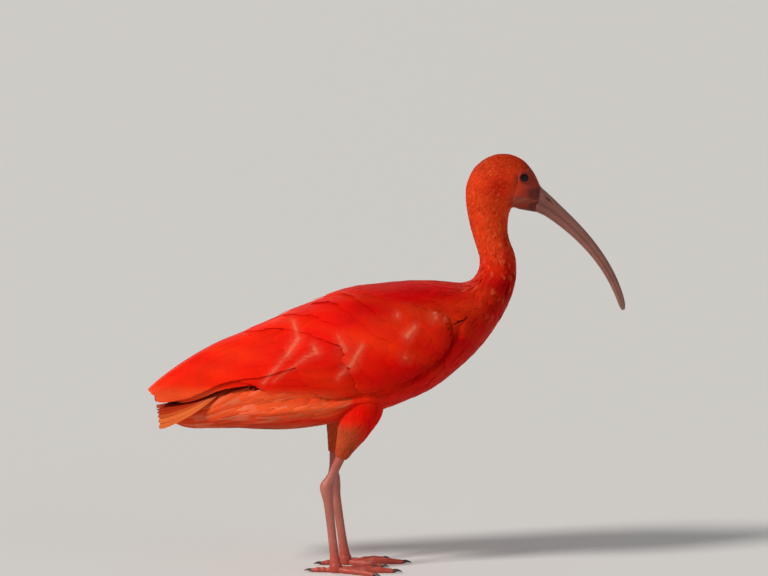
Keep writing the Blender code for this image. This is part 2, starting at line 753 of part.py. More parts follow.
def limb_rings(stations, sides, before=None, after=None):
    """Rings round a bent line. Each station is a centre, a radius fore and aft, and one sideways.

    Before and after are the line's next points beyond its ends, where another node goes on.
    """
    centres = [station[0] for station in stations]
    line = [before or centres[0]] + centres + [after or centres[-1]]
    shifts = [0.0] * len(stations)
    shifts[0] = GAP / 2 if before else 0.0
    shifts[-1] = -GAP / 2 if after else 0.0
    rings = []
    for i, (centre, fore, aside) in enumerate(stations):
        ahead = (line[i + 2] - line[i]).normalized()
        side = Vector((0, 1, 0))
        front = side.cross(ahead).normalized()
        ring = []
        for j in range(sides):
            angle = 2 * math.pi * j / sides
            reach = front * fore * math.cos(angle) + side * aside * math.sin(angle)
            ring.append(centre + ahead * shifts[i] + reach)
        rings.append(ring)
    return rings


def make_leg(side_name, plumage, skin):
    """The feathered thigh, the bare shank and the tarsus of one leg, which share one bent line."""
    spot, y = LEG_PLACES[side_name], SIDES[side_name] * LEG_Y
    hip = Vector((spot["hip"], y, HIP_Z))
    cuff = Vector((spot["cuff"][0], y, spot["cuff"][1]))
    ankle = Vector((spot["ankle"][0], y, spot["ankle"][1]))
    foot = Vector((spot["toes"], y, TOE_ROOT_Z))
    thigh = [(hip.lerp(cuff, t), a, b) for t, a, b in THIGH_ROWS]
    shank = [(cuff.lerp(ankle, t), a, b) for t, a, b in SHANK_ROWS]
    tarsus = [(ankle.lerp(foot, t), a, b) for t, a, b in TARSUS_ROWS]
    over_hip = hip + Vector((0, 0, HIP_RISE))
    thigh_rings = limb_rings(thigh, THIGH_SIDES, before=over_hip, after=shank[1][0])
    thigh_obj = new_object(f"thigh_{side_name}", loft("thigh", thigh_rings), plumage)
    boolean(thigh_obj, "DIFFERENCE", [torso_mesh("belly", grow=2 * GAP)])
    shank_rings = limb_rings(shank, SHANK_SIDES, before=thigh[-2][0], after=tarsus[1][0])
    new_object(f"shank_{side_name}", loft("shank", shank_rings), skin)
    tarsus_rings = limb_rings(tarsus, SHANK_SIDES, before=shank[-2][0], after=foot)
    new_object(f"tarsus_{side_name}", loft("tarsus", tarsus_rings), skin)
    make_foot(side_name, foot, tarsus, skin)


def toe_points(foot, side, turn, length):
    """Where a toe's joints stand, from the foot's middle outwards, and its direction."""
    angle = math.radians(turn) * -side
    ahead = Vector((math.cos(angle), math.sin(angle), 0))
    return ahead, [foot + ahead * (length * share) for share, _ in TOE_SHAPE]


def on_floor(mesh):
    """Flattens what would lie under the floor."""
    for vert in mesh.vertices:
        vert.co.z = max(vert.co.z, 0.0)
    return mesh


def make_foot(side_name, foot, tarsus, skin):
    """The sole with its four toes, and a small web between the front ones."""
    side = SIDES[side_name]
    line = [tarsus[-1]] + [(foot + Vector((0, 0, z)), fore, aside) for z, fore, aside in SOLE_ROWS]
    sole = loft("sole", limb_rings(line, SOLE_SIDES, before=tarsus[-2][0]))
    obj = new_object(f"foot_{side_name}", on_floor(sole), skin)
    pieces = []
    for name, (turn, length, _, girth) in TOES.items():
        ahead, points = toe_points(foot, side, turn, length)
        stations = []
        for point, (_, share) in zip(points, TOE_SHAPE):
            thick = girth * share
            stations.append((Vector((point.x, point.y, thick * TOE_SET)), thick))
        pieces.append(on_floor(toe_mesh(name, stations, ahead, TOE_SIDES)))
    pieces += web_meshes(foot, side)
    boolean(obj, "UNION", pieces, solver="MANIFOLD")
    make_claws(side_name, foot)
    return obj


def toe_mesh(name, stations, ahead, sides):
    """A toe or claw that points along a level direction, from its centres and radii."""
    across = Vector((-ahead.y, ahead.x, 0))
    up = Vector((0, 0, 1))
    rings = []
    for centre, radius in stations:
        ring = []
        for j in range(sides):
            angle = 2 * math.pi * j / sides
            ring.append(centre + (across * math.cos(angle) + up * math.sin(angle)) * radius)
        rings.append(ring)
    return loft(name, rings)


def web_meshes(foot, side):
    """Thin webs in the two angles between the front toes."""
    meshes = []
    for name in ("inner", "outer"):
        turn, length, _, _ = TOES[name]
        _, edge = toe_points(foot, side, turn, length)
        _, middle = toe_points(foot, side, TOES["middle"][0], TOES["middle"][1])
        far_edge = edge[0].lerp(edge[-1], WEB_REACH)
        far_middle = middle[0].lerp(middle[-1], WEB_REACH * WEB_MIDDLE)
        hollow = foot.lerp((far_edge + far_middle) / 2, WEB_MIDDLE)
        outline = [foot, far_edge, hollow, far_middle]
        tops = [Vector((p.x, p.y, WEB_TOP)) for p in outline]
        lows = [Vector((p.x, p.y, WEB_TOP - WEB_THICKNESS)) for p in outline]
        meshes.append(loft("web", [lows, tops]))
    return meshes


def make_claws(side_name, foot):
    side = SIDES[side_name]
    horn = MATERIALS["claw"]
    for name, (turn, length, claw, girth) in TOES.items():
        ahead, points = toe_points(foot, side, turn, length)
        start = points[-1] + ahead * GAP
        thick = girth * TOE_SHAPE[-1][1]
        base_z = thick * TOE_SET
        stations = []
        for share in CLAW_SHARES:
            size = thick * 0.80 * (1 - share) ** 0.8 + CLAW_TIP
            centre = start + ahead * (claw * share)
            arch = CLAW_ARCH * math.sin(math.pi * share)
            centre.z = base_z + arch - (base_z - CLAW_END_Z) * share**1.5
            stations.append((centre, size))
        mesh = toe_mesh("claw", stations, ahead, CLAW_SIDES)
        new_object(f"claw_{side_name}_{name}", mesh, horn)


def centre_on_origin():
    """Puts the middle of the bounding box over the origin and the soles on the floor."""
    corners = np.array([tuple(v.co) for obj in PARTS.objects for v in obj.data.vertices])
    low, high = corners.min(axis=0), corners.max(axis=0)
    move = Vector((-(low[0] + high[0]) / 2, -(low[1] + high[1]) / 2, -low[2]))
    for obj in PARTS.objects:
        for vert in obj.data.vertices:
            vert.co += move


def clear_scene():
    for obj in list(bpy.data.objects):
        bpy.data.objects.remove(obj)


def main():
    plumage, flight = MATERIALS["plumage"], MATERIALS["flight"]
    keys = BODY.keys
    new_object("torso", torso_mesh("torso"), plumage)
    root, bend, throat = keys[NECK_ROOT], keys[NECK_BEND], keys[THROAT]
    for name, first, last in (("neck_lower", root, bend), ("neck_upper", bend, throat)):
        new_object(name, loft(name, body_rings(first, last, NECK_RINGS, HEAD_SIDES)), plumage)
    make_head(plumage)
    make_bill(True, MATERIALS["bill"])
    make_bill(False, MATERIALS["bill"])
    make_tail(flight)
    for side_name in SIDES:
        make_wing(side_name, flight)
        make_eye(side_name, MATERIALS["eye"])
        make_leg(side_name, plumage, MATERIALS["leg"])
    centre_on_origin()


clear_scene()
PARTS = bpy.data.collections.new("scarlet_ibis")
bpy.context.scene.collection.children.link(PARTS)
MATERIALS = {name: material(name) for name in COLOURS}
main()
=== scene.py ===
"""The looks of a life-size scarlet ibis, a still museum model that stands on both feet.

Lengths are in metres. +Z is up, the bird faces +X and its right side faces -Y. Its plumage is laid
feather by feather over one skin, on the same outlines that the solids underneath follow.
"""

import json
import math

import bmesh
import bpy
import numpy as np
from mathutils import Matrix, Vector

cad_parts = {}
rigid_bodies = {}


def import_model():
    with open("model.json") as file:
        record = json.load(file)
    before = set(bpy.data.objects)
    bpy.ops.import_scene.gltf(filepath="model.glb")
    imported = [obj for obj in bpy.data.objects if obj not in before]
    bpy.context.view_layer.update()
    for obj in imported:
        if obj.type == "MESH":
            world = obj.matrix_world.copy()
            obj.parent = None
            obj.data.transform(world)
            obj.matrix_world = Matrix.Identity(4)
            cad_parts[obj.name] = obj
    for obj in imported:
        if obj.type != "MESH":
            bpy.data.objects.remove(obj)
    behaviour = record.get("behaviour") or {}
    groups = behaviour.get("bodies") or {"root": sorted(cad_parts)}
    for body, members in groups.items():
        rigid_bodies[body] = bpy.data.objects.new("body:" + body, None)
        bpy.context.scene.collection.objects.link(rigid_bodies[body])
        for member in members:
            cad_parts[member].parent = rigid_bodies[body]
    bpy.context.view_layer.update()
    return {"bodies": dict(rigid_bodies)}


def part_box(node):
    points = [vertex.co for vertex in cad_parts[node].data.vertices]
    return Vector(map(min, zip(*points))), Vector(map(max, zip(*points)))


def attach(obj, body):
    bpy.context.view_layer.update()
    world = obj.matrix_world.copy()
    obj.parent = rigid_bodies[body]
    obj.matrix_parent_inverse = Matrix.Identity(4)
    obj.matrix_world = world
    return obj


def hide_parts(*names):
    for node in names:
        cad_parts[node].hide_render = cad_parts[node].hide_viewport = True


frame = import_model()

X, Z = 0, 2  # where a point keeps these
COARSE = 1.0

WHOLE_BIRD = next(iter(frame["bodies"]))  # the one body that everything rides on

# The outline with its plumage, from the tail's core to the bill. Each row is one section: the x and z of
# its point on the back line, the x and z of its point on the belly line, half its width, and how far
# down from the back its widest place lies, as a share of its depth.
BODY_ROWS = np.array(
    [
        (-0.1920, 0.1427, -0.1920, 0.1362, 0.0040, 0.50),
        (-0.1860, 0.1457, -0.1860, 0.1325, 0.0085, 0.50),
        (-0.1770, 0.1502, -0.1770, 0.1301, 0.0137, 0.50),
        (-0.1650, 0.1570, -0.1650, 0.1292, 0.0188, 0.50),
        (-0.1500, 0.1700, -0.1500, 0.1288, 0.0232, 0.51),
        (-0.1350, 0.1850, -0.1350, 0.1287, 0.0250, 0.52),
        (-0.1121, 0.2060, -0.1121, 0.1277, 0.0335, 0.52),
        (-0.0869, 0.2300, -0.0869, 0.1278, 0.0420, 0.50),
        (-0.0599, 0.2470, -0.0599, 0.1310, 0.0485, 0.49),
        (-0.0329, 0.2565, -0.0329, 0.1368, 0.0525, 0.48),
        (-0.0059, 0.2601, -0.0059, 0.1450, 0.0545, 0.48),
        (0.0180, 0.2622, 0.0180, 0.1540, 0.0545, 0.48),
        (0.0400, 0.2625, 0.0420, 0.1655, 0.0525, 0.49),
        (0.0560, 0.2612, 0.0640, 0.1825, 0.0480, 0.50),
        (0.0680, 0.2605, 0.0840, 0.2020, 0.0415, 0.50),
        (0.0765, 0.2635, 0.1010, 0.2250, 0.0330, 0.50),
        (0.0815, 0.2695, 0.1110, 0.2440, 0.0255, 0.50),
        (0.0838, 0.2760, 0.1160, 0.2600, 0.0200, 0.50),
        (0.0838, 0.2830, 0.1172, 0.2740, 0.0170, 0.50),
        (0.0822, 0.2900, 0.1158, 0.2860, 0.0156, 0.50),
        (0.0779, 0.3033, 0.1100, 0.3025, 0.0148, 0.50),
        (0.0740, 0.3190, 0.1094, 0.3165, 0.0150, 0.48),
        (0.0716, 0.3350, 0.1118, 0.3275, 0.0158, 0.46),
        (0.0722, 0.3500, 0.1155, 0.3290, 0.0168, 0.44),
        (0.0800, 0.3660, 0.1195, 0.3277, 0.0176, 0.42),
        (0.0950, 0.3760, 0.1235, 0.3268, 0.0176, 0.42),
        (0.1100, 0.3773, 0.1270, 0.3262, 0.0164, 0.44),
        (0.1230, 0.3718, 0.1300, 0.3257, 0.0142, 0.46),
        (0.1325, 0.3608, 0.1328, 0.3252, 0.0116, 0.48),
        (0.1385, 0.3484, 0.1350, 0.3249, 0.0092, 0.50),
    ]
)
# Sections, counted from the tail, where the bird's parts begin.
RUMP, BELLY, SHOULDER, NECK_ROOT, NECK_BEND, THROAT, FACE = 5, 9, 13, 17, 20, 23, 29
BREAST_END, NECK_START, NAPE_END = 15, 18, 25  # where its coat changes from one piece to the next
# The skin's rings: from which section to which, and how many.
SKIN_RINGS = (
    (0, RUMP, 12),
    (RUMP, SHOULDER, 60),
    (SHOULDER, NECK_ROOT, 28),
    (NECK_ROOT, THROAT, 50),
    (THROAT, FACE, 150),
)

# The outline over the folded wings, from the wing tips to the shoulders, in the same columns.
MANTLE_ROWS = np.array(
    [
        (-0.2160, 0.1632, -0.2160, 0.1460, 0.0085, 0.50),
        (-0.2039, 0.1750, -0.2039, 0.1420, 0.0138, 0.52),
        (-0.1814, 0.1925, -0.1814, 0.1380, 0.0210, 0.50),
        (-0.1544, 0.2092, -0.1544, 0.1320, 0.0285, 0.48),
        (-0.1319, 0.2192, -0.1319, 0.1290, 0.0345, 0.46),
        (-0.1121, 0.2275, -0.1121, 0.1275, 0.0395, 0.45),
        (-0.0869, 0.2385, -0.0869, 0.1278, 0.0450, 0.46),
        (-0.0599, 0.2486, -0.0599, 0.1310, 0.0500, 0.47),
        (-0.0329, 0.2567, -0.0329, 0.1368, 0.0535, 0.48),
        (-0.0059, 0.2603, -0.0059, 0.1450, 0.0555, 0.48),
        (0.0180, 0.2624, 0.0180, 0.1540, 0.0555, 0.48),
        (0.0400, 0.2627, 0.0420, 0.1655, 0.0535, 0.49),
        (0.0560, 0.2614, 0.0640, 0.1825, 0.0490, 0.50),
        (0.0680, 0.2607, 0.0840, 0.2020, 0.0425, 0.50),
    ]
)

# The folded wing: x of the middle of the section that it lies on, the angles round that section of its
# upper and lower edges, in degrees from the back, and how deep it beds into the outline there.
WING_ROWS = np.array(
    [
        (-0.2150, 0.0, 104.0, 0.0042),
        (-0.2050, 0.0, 107.0, 0.0052),
        (-0.1805, 0.0, 108.0, 0.0066),
        (-0.1481, 0.0, 96.0, 0.0078),
        (-0.1031, 0.0, 109.0, 0.0084),
        (-0.0550, 0.0, 121.0, 0.0085),
        (-0.0300, 12.0, 125.5, 0.0085),
        (0.0000, 29.0, 127.0, 0.0084),
        (0.0234, 46.0, 123.0, 0.0080),
        (0.0371, 54.0, 118.0, 0.0078),
        (0.0480, 60.0, 112.0, 0.0072),
        (0.0560, 66.0, 103.0, 0.0062),
        (0.0600, 76.0, 93.0, 0.0050),
    ]
)
WING_FRONT = 0.0600
BACK_MEETS = -0.0550  # behind this the two wings meet over the back
MIDLINE = 0.0012
SEAM = MIDLINE / 6  # half the gap between the two wings' feathers over the back
SKIN_TROUGH_END, COAT_TROUGH_END, TROUGH_RUN = -0.150, -0.165, 0.015  # where the wings' beds run out behind
SKIN_MARGIN, SKIN_SHADE = 0.0070, 0.0110  # how far the skin stays sunk round a wing, and its way back
COAT_MARGIN, COAT_SHADE = 0.0030, 0.0070  # the same for the plumage over it

# The small feathers: section of the body, distance between roots, length, full width, depth of the coat.
COAT_ROWS = np.array(
    [
        (0.0, 0.0056, 0.0260, 0.0130, 0.0018),
        (RUMP, 0.0056, 0.0260, 0.0130, 0.0018),
        (BELLY, 0.0050, 0.0220, 0.0112, 0.0018),
        (13.0, 0.0042, 0.0180, 0.0088, 0.0016),
        (15.0, 0.0034, 0.0140, 0.0068, 0.0014),
        (NECK_ROOT, 0.0026, 0.0104, 0.0046, 0.0012),
        (NECK_BEND, 0.0020, 0.0080, 0.0034, 0.0010),
        (THROAT, 0.0016, 0.0060, 0.0026, 0.0008),
        (25.0, 0.0013, 0.0045, 0.0020, 0.0007),
        (27.0, 0.0011, 0.0034, 0.0017, 0.0006),
        (FACE, 0.0010, 0.0025, 0.0014, 0.0005),
    ]
)

# The flank's plumes: distance between roots, length, and half the width.
PLUME_SPACING, PLUME_LENGTH, PLUME_HALF = 0.0046, 0.042, 0.0032

# Rows of feathers on one wing, from the lowest layer to the highest. Each has its number of feathers, the
# roots of its first and its last feather, their tips, half a feather's width, and the heights over the
# wing's bed of its roots, of its first tip and of its last tip. A place is x, and the share of the way
# round from the wing's upper edge to its lower one.
TIERS = {
    "primary": (
        5,
        ((-0.098, 0.90), (-0.104, 0.66)),
        ((-0.1960, 1.000), (-0.2070, 0.86)),
        0.0070,
        (0.0002, 0.0002, 0.0006),
    ),
    "secondary": (
        10,
        ((-0.050, 0.95), (-0.070, 0.40)),
        ((-0.1080, 0.97), (-0.1900, 0.62)),
        0.0105,
        (0.0012, 0.0014, 0.0016),
    ),
    "tertial": (
        6,
        ((-0.050, 0.66), (-0.048, 0.06)),
        ((-0.2070, 0.78), (-0.2145, 0.12)),
        0.0128,
        (0.0026, 0.0030, 0.0034),
    ),
    "greater": (
        13,
        ((-0.012, 0.95), (-0.036, 0.36)),
        ((-0.0660, 0.97), (-0.1020, 0.46)),
        0.0085,
        (0.0034, 0.0042, 0.0054),
    ),
    "median": (
        14,
        ((0.014, 0.93), (-0.004, 0.30)),
        ((-0.0260, 0.95), (-0.0500, 0.38)),
        0.0070,
        (0.0046, 0.0058, 0.0064),
    ),
}
FLIGHT_TIERS, COVERT_TIERS = ("primary", "secondary", "tertial"), ("greater", "median")
SCAPULAR_ROWS = (
    (9, ((0.000, 0.56), (-0.040, 0.05)), ((-0.060, 0.52), (-0.128, 0.07)), 0.0088, (0.0044, 0.0062, 0.0045)),
    (10, ((0.012, 0.50), (-0.022, 0.04)), ((-0.040, 0.46), (-0.096, 0.06)), 0.0080, (0.0050, 0.0070, 0.0055)),
    (11, ((0.024, 0.44), (-0.006, 0.02)), ((-0.018, 0.40), (-0.066, 0.05)), 0.0070, (0.0056, 0.0078, 0.0066)),
    (12, ((0.036, 0.36), (0.010, 0.01)), ((0.002, 0.33), (-0.040, 0.04)), 0.0060, (0.0060, 0.0084, 0.0076)),
)
# How far tips stray in x, how far they stray round the wing, and how much widths vary.
TIER_STRAY = (0.0012, 0.008, 0.03)
SCAPULAR_STRAY = (0.0015, 0.006, 0.04)
# The pad of down under a wing's feathers: x, and how thick it is there.
PAD_ROWS = np.array(
    [
        (-0.1700, 0.0009),
        (-0.1200, 0.0010),
        (-0.0850, 0.0013),
        (-0.0620, 0.0026),
        (-0.0450, 0.0040),
        (-0.0100, 0.0050),
        (0.0200, 0.0064),
        (0.0400, 0.0064),
        (0.0600, 0.0056),
    ]
)
# How dark a wing's feathers are painted at the root, as shade under the feathers that cover it, how much
# paler at the edge, and how much they vary.
FLIGHT_TONES, COVERT_TONES = (0.88, 0.08, 0.04), (0.86, 0.07, 0.04)
RIM_RADIUS = 0.0080  # how far in from its edges a wing is rounded off

# The bill: its centre line starts at the middle of the head's front face and turns down to the tip.
BILL_LENGTH = 0.1290
BILL_START = math.radians(-37.5)
BILL_TURN = math.radians(-39.5)
BILL_TURN_POWER = 1.6
# Share of the bill's length, depth, half width, and the upper half's share of the depth.
BILL_ROWS = np.array(
    [
        (0.00, 0.0238, 0.0092, 0.60),
        (0.08, 0.0180, 0.0076, 0.54),
        (0.20, 0.0148, 0.0062, 0.50),
        (0.45, 0.0114, 0.0049, 0.50),
        (0.70, 0.0090, 0.0041, 0.50),
        (0.90, 0.0071, 0.0035, 0.50),
        (0.97, 0.0056, 0.0029, 0.52),
        (1.00, 0.0030, 0.0016, 0.55),
    ]
)
MOUTH_GAP = 0.0001

# Each eye looks out of the side of the head. Its spot is the middle of its opening on the left side.
EYE_SPOT = np.array((0.1238, 0.0140, 0.3577))
EYE_AXIS = np.array((0.33, 0.92, 0.19)) / math.hypot(0.33, 0.92, 0.19)
EYE_RADIUS = 0.0055
EYE_SINK = 0.0041
SOCKET_DEPTH, SOCKET_RADIUS, SOCKET_SLOPE = 0.0034, 0.0034, 0.0014
LID_RADIUS = 0.0042
LID_WIDTH = 0.0008

# How far the frame's origin lies from this script's own, read off the place of the left eye.
EYE_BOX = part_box("eye_left")
SHIFT = np.array((EYE_BOX[0] + EYE_BOX[1]) / 2) - (EYE_SPOT - EYE_AXIS * EYE_SINK)

# The tail's feathers fan from the rump, and its surface falls to both sides from a ridge.
TAIL_FEATHERS = 12
TAIL_ROOT_X = -0.1400
TAIL_TIP_X = -0.2075
TAIL_STEP = 0.0006  # how much farther forward each tip lies than that of the next one in
TAIL_ROOT_SPREAD, TAIL_SPREAD = 0.0020, 0.0056
TAIL_OVERLAP = 0.0019  # how far each feather slopes up over the next
TAIL_HALF_WIDTH = 0.0078
RIDGE_ROWS = np.array([(-0.2150, 0.1448), (-0.1800, 0.1525), (-0.1550, 0.1622), (-0.1350, 0.1715)])
TAIL_ARCH = 14.0

# Legs: the sideways place of both, and how the joints of each stand.
LEG_Y = 0.0215
HIP_Z = 0.152
TOE_ROOT_Z = 0.0048
LEG_PLACES = {
    "right": {"hip": -0.0200, "cuff": (-0.0410, 0.1050), "ankle": (-0.0536, 0.0780), "toes": -0.0455},
    "left": {"hip": -0.0340, "cuff": (-0.0470, 0.1030), "ankle": (-0.0478, 0.0785), "toes": -0.0370},
}
SIDES = {"right": -1, "left": 1}
# Share of the way along each length of the leg, and its radius fore and aft and sideways.
THIGH_ROWS = (
    (0.00, 0.0178, 0.0150),
    (0.25, 0.0168, 0.0144),
    (0.42, 0.0150, 0.0130),
    (0.56, 0.0129, 0.0112),
    (0.70, 0.0104, 0.0092),
    (0.84, 0.0081, 0.0074),
    (0.95, 0.0064, 0.0060),
    (1.00, 0.0054, 0.0052),
)
THIGH_TOP = (0.020, 0.0168, 0.0145)  # inside the body: height over the hip, and both radii
THIGH_SINK, CUFF_SINK = -0.0022, -0.0012  # how deep the skin lies under the thigh's coat
SHANK_ROWS = (
    (0.20, 0.0042, 0.0037),
    (0.50, 0.0040, 0.0035),
    (0.72, 0.0047, 0.0041),
    (0.88, 0.0057, 0.0050),
)
TARSUS_ROWS = (
    (0.00, 0.0061, 0.0055),
    (0.08, 0.0057, 0.0050),
    (0.20, 0.0044, 0.0037),
    (0.60, 0.0039, 0.0032),
    (0.84, 0.0042, 0.0036),
    (0.92, 0.0047, 0.0044),
    (1.00, 0.0052, 0.0050),
)
# Plates on a leg's front and on toes: distance along, how far round they reach, and their relief.
SHIN_SCUTES, TOE_SCUTES = (0.0034, 0.95, 0.00020), (0.0017, 1.1, 0.00016)
# Toes: turn from straight ahead, towards the bird's middle; length to the claw; claw's length; girth.
TOES = {
    "middle": (-3.0, 0.0520, 0.0085, 0.0030),
    "inner": (27.0, 0.0370, 0.0075, 0.0027),
    "outer": (-33.0, 0.0410, 0.0075, 0.0028),
    "hind": (172.0, 0.0220, 0.0075, 0.0025),
}
# Share of a toe's length, and its girth there against the toe's own.
TOE_SWELLS = np.array([(0.0, 1.0), (0.14, 1.05), (0.38, 0.92), (0.62, 0.98), (0.86, 0.84), (1.0, 0.62)])
WEB_REACH = 0.46  # share of the toes' length that the web's front edge reaches
# The ball of the foot: height over the toes' roots, and its radius fore and aft and sideways.
SOLE_ROWS = (
    (0.0040, 0.0050, 0.0048),
    (0.0012, 0.0057, 0.0055),
    (-0.0024, 0.0055, 0.0054),
    (-0.0048, 0.0046, 0.0046),
)

# Colours, as light reflected in red, green and blue.
SCARLET = np.array((0.780, 0.009, 0.001))
# Brighter scarlet for the wings' ends: partly their own brighter red, partly painted light where the key lamp
# falls from behind.
BRIGHT_AND_LIT_SCARLET = np.array((0.900, 0.018, 0.002))
# Scarlet in shade: painted shade behind the eye, in the neck's fold, at the foot of the neck and on the
# breast.
SHADED_SCARLET = np.array((0.430, 0.005, 0.001))
NECK_SCARLET = np.array((0.720, 0.046, 0.008))
TAIL_ORANGE = np.array((0.780, 0.170, 0.040))
FLANK_SALMON = np.array((0.840, 0.100, 0.024))
ORANGE_CAST = np.array((0.04, 0.014, 0.001))  # what warmer patches add
# Dusky salmon for the underside and thighs: their own salmon darkened with painted shade.
SHADED_THIGH_SALMON = np.array((0.430, 0.066, 0.019))
PALE_FRINGE = np.array((0.840, 0.240, 0.130))
FLECK_ORANGE = np.array((0.860, 0.170, 0.050))
FLECK_STRENGTH = 0.32
# The tail's inner feathers: their red darkened with painted shade.
TAIL_SHADE = np.array((0.420, 0.012, 0.002))
BLACK_TIP = np.array((0.012, 0.006, 0.006))
FACE_SKIN = np.array((0.330, 0.028, 0.013))
GAPE_SKIN = np.array((0.300, 0.058, 0.030))
LORE_SKIN = np.array((0.135, 0.019, 0.011))
BILL_BASE = np.array((0.240, 0.070, 0.045))
BILL_MIDDLE = np.array((0.260, 0.088, 0.062))
BILL_TIP = np.array((0.260, 0.120, 0.076))
# A painted highlight along the upper bill's ridge.
BILL_RIDGE_HIGHLIGHT = np.array((0.310, 0.175, 0.150))
# Painted shade in the bill's groove, its nostril and along the mouth's line.
BILL_GROOVE_SHADE = np.array((0.080, 0.024, 0.018))
SHIN = np.array((0.430, 0.125, 0.092))
SHIN_RED = np.array((0.440, 0.060, 0.036))
CLAW_DARK = np.array((0.045, 0.024, 0.020))
IRIS = np.array((0.012, 0.004, 0.003))
PUPIL = np.array((0.002, 0.002, 0.002))

# Pale streaks on the wings, partly worn feathers and partly painted highlight where feather edges catch the
# light,
# seen from the side: x and z of either end, half the width at either end, and how strong each is.
WORN_AND_LIT_STREAKS = (
    (0.0255, 0.2282, 0.0187, 0.2194, 0.0013, 0.0022, 0.90),
    (0.0426, 0.2445, 0.0436, 0.2363, 0.0020, 0.0024, 0.55),
    (0.0528, 0.2363, 0.0530, 0.2350, 0.0010, 0.0012, 0.55),
    (0.0100, 0.2383, 0.0096, 0.2372, 0.0012, 0.0015, 0.60),
    (0.0167, 0.2010, 0.0180, 0.2000, 0.0022, 0.0024, 0.40),
    (-0.0215, 0.2114, -0.0313, 0.1939, 0.0009, 0.0026, 0.85),
    (-0.0313, 0.1939, -0.0437, 0.1805, 0.0026, 0.0008, 0.70),
    (-0.0428, 0.2186, -0.0365, 0.2073, 0.0014, 0.0042, 0.40),
    (-0.0654, 0.2099, -0.0624, 0.2042, 0.0014, 0.0020, 0.80),
    (-0.0624, 0.2042, -0.0770, 0.1955, 0.0020, 0.0009, 0.60),
    (-0.0770, 0.1955, -0.1019, 0.1760, 0.0009, 0.0007, 0.45),
    (-0.0838, 0.2295, -0.0788, 0.2156, 0.0012, 0.0021, 0.60),
    (-0.0788, 0.2156, -0.0898, 0.1995, 0.0021, 0.0012, 0.80),
    (-0.0898, 0.1995, -0.1109, 0.1744, 0.0012, 0.0007, 0.75),
)
# The edge of the face's bare skin, seen from the side: z, and the x behind which feathers grow.
FACE_EDGE = np.array(
    [
        (0.3200, 0.1600),
        (0.3245, 0.1240),
        (0.3270, 0.1170),
        (0.3310, 0.1132),
        (0.3372, 0.1128),
        (0.3407, 0.1140),
        (0.3487, 0.1166),
        (0.3555, 0.1176),
        (0.3624, 0.1222),
        (0.3660, 0.1278),
        (0.3690, 0.1345),
    ]
)
# Swells and hollows of the face: height, x and z of the middle, half length and width, slope in degrees.
FACE_SWELLS = (
    (0.0005, 0.1235, 0.3630, 0.0070, 0.0022, -14),  # brow
    (-0.0009, 0.1320, 0.3500, 0.0055, 0.0020, -40),  # lore
    (0.0006, 0.1150, 0.3440, 0.0080, 0.0050, 0),  # cheek
    (-0.0009, 0.1010, 0.3490, 0.0075, 0.0075, 0),  # ear
)
# Soft marks on the plumage: x and z of the middle, half length and width, slope in degrees.
# A patch of painted shade over the ear's hollow behind the eye.
EAR_SHADE = (0.1010, 0.3490, 0.0095, 0.0115, 0)
NECK_ROOT_MARK = (0.0780, 0.2550, 0.0160, 0.0150, -40)
# A fold down the front of the neck, painted as a line of shade, seen from the side: z and x.
NECK_FOLD = np.array(
    [
        (0.2350, 0.0940),
        (0.2408, 0.0972),
        (0.2510, 0.0998),
        (0.2680, 0.1085),
        (0.2970, 0.1072),
        (0.3150, 0.1040),
    ]
)
FOLD_HALF = 0.0020

# Feathers have next to no gloss, and a faint warm bloom at grazing angles.
FEATHER_GLOSS = {
    "Specular_IOR_Level": 0.04,
    "Sheen_Weight": 0.03,
    "Sheen_Roughness": 0.5,
    "Sheen_Tint": (1.0, 0.10, 0.02, 1.0),
}

FLOOR_REACH, FLOOR_GREY = 40.0, (0.72, 0.71, 0.69, 1.0)
SKY_GREY, SKY_STRENGTH = (0.86, 0.87, 0.90, 1.0), 0.25
# Lamps: strength, how broad each is in degrees, the way it shines, and its colour.
LAMPS = {
    "key": (2.6, 12, (0.85, 0.60, -0.80), (1.0, 0.97, 0.92)),
    "fill": (0.28, 40, (-0.8, 0.7, -0.5), (0.95, 0.97, 1.0)),
    "rim": (0.6, 25, (0.3, -0.9, -0.5), (1.0, 0.97, 0.94)),
}
CAMERA_TARGET = (-0.00225, 0, 0.2560)
CAMERA_DISTANCE, CAMERA_TILT, VIEW_WIDTH, SENSOR_WIDTH = 8.0, math.radians(8.0), 0.6912, 36.0

# Where markings lie, some of them painted light and shade, as soft limits: an axis, where the limit starts,
# and the run over which it comes to hold in full, negative where it holds towards less.
WING_END = ((X, -0.020, -0.100), (Z, 0.150, 0.030))
NECK = ((Z, 0.255, 0.045), (X, 0.045, 0.035))
NECK_FRONT = ((Z, 0.238, 0.012), (Z, 0.312, -0.012))
CROWN = ((Z, 0.3600, 0.0090),)
# The top of the mantle: darker, partly its own deeper red and partly painted shade.
MANTLE_TOP = ((X, -0.055, 0.045), (Z, 0.222, 0.022))
NECK_FOOT_SHADE = ((X, 0.045, 0.040), (Z, 0.262, -0.030))
FLANK = ((Z, 0.172, -0.012), (X, -0.030, -0.030), (Z, 0.137, 0.012))
UNDERSIDE = ((Z, 0.142, -0.014), (X, -0.012, -0.020))
BREAST = ((X, -0.015, 0.050), (Z, 0.275, -0.020))
LORES = ((X, 0.124, 0.006), (Z, 0.3505, -0.005))
CHIN = ((Z, 0.3320, -0.004),)
BEHIND_EYE = ((X, 0.126, -0.008), (Z, 0.339, 0.004))


def ease(share):
    share = np.clip(share, 0.0, 1.0)
    return share * share * (3 - 2 * share)


def between(low, high, share):
    """Numbers part of the way from low to high."""
    return low + (high - low) * share


def blend(low, high, share):
    """Colours or places part of the way from low to high, one for every share."""
    return low + (high - low) * np.asarray(share)[..., None]


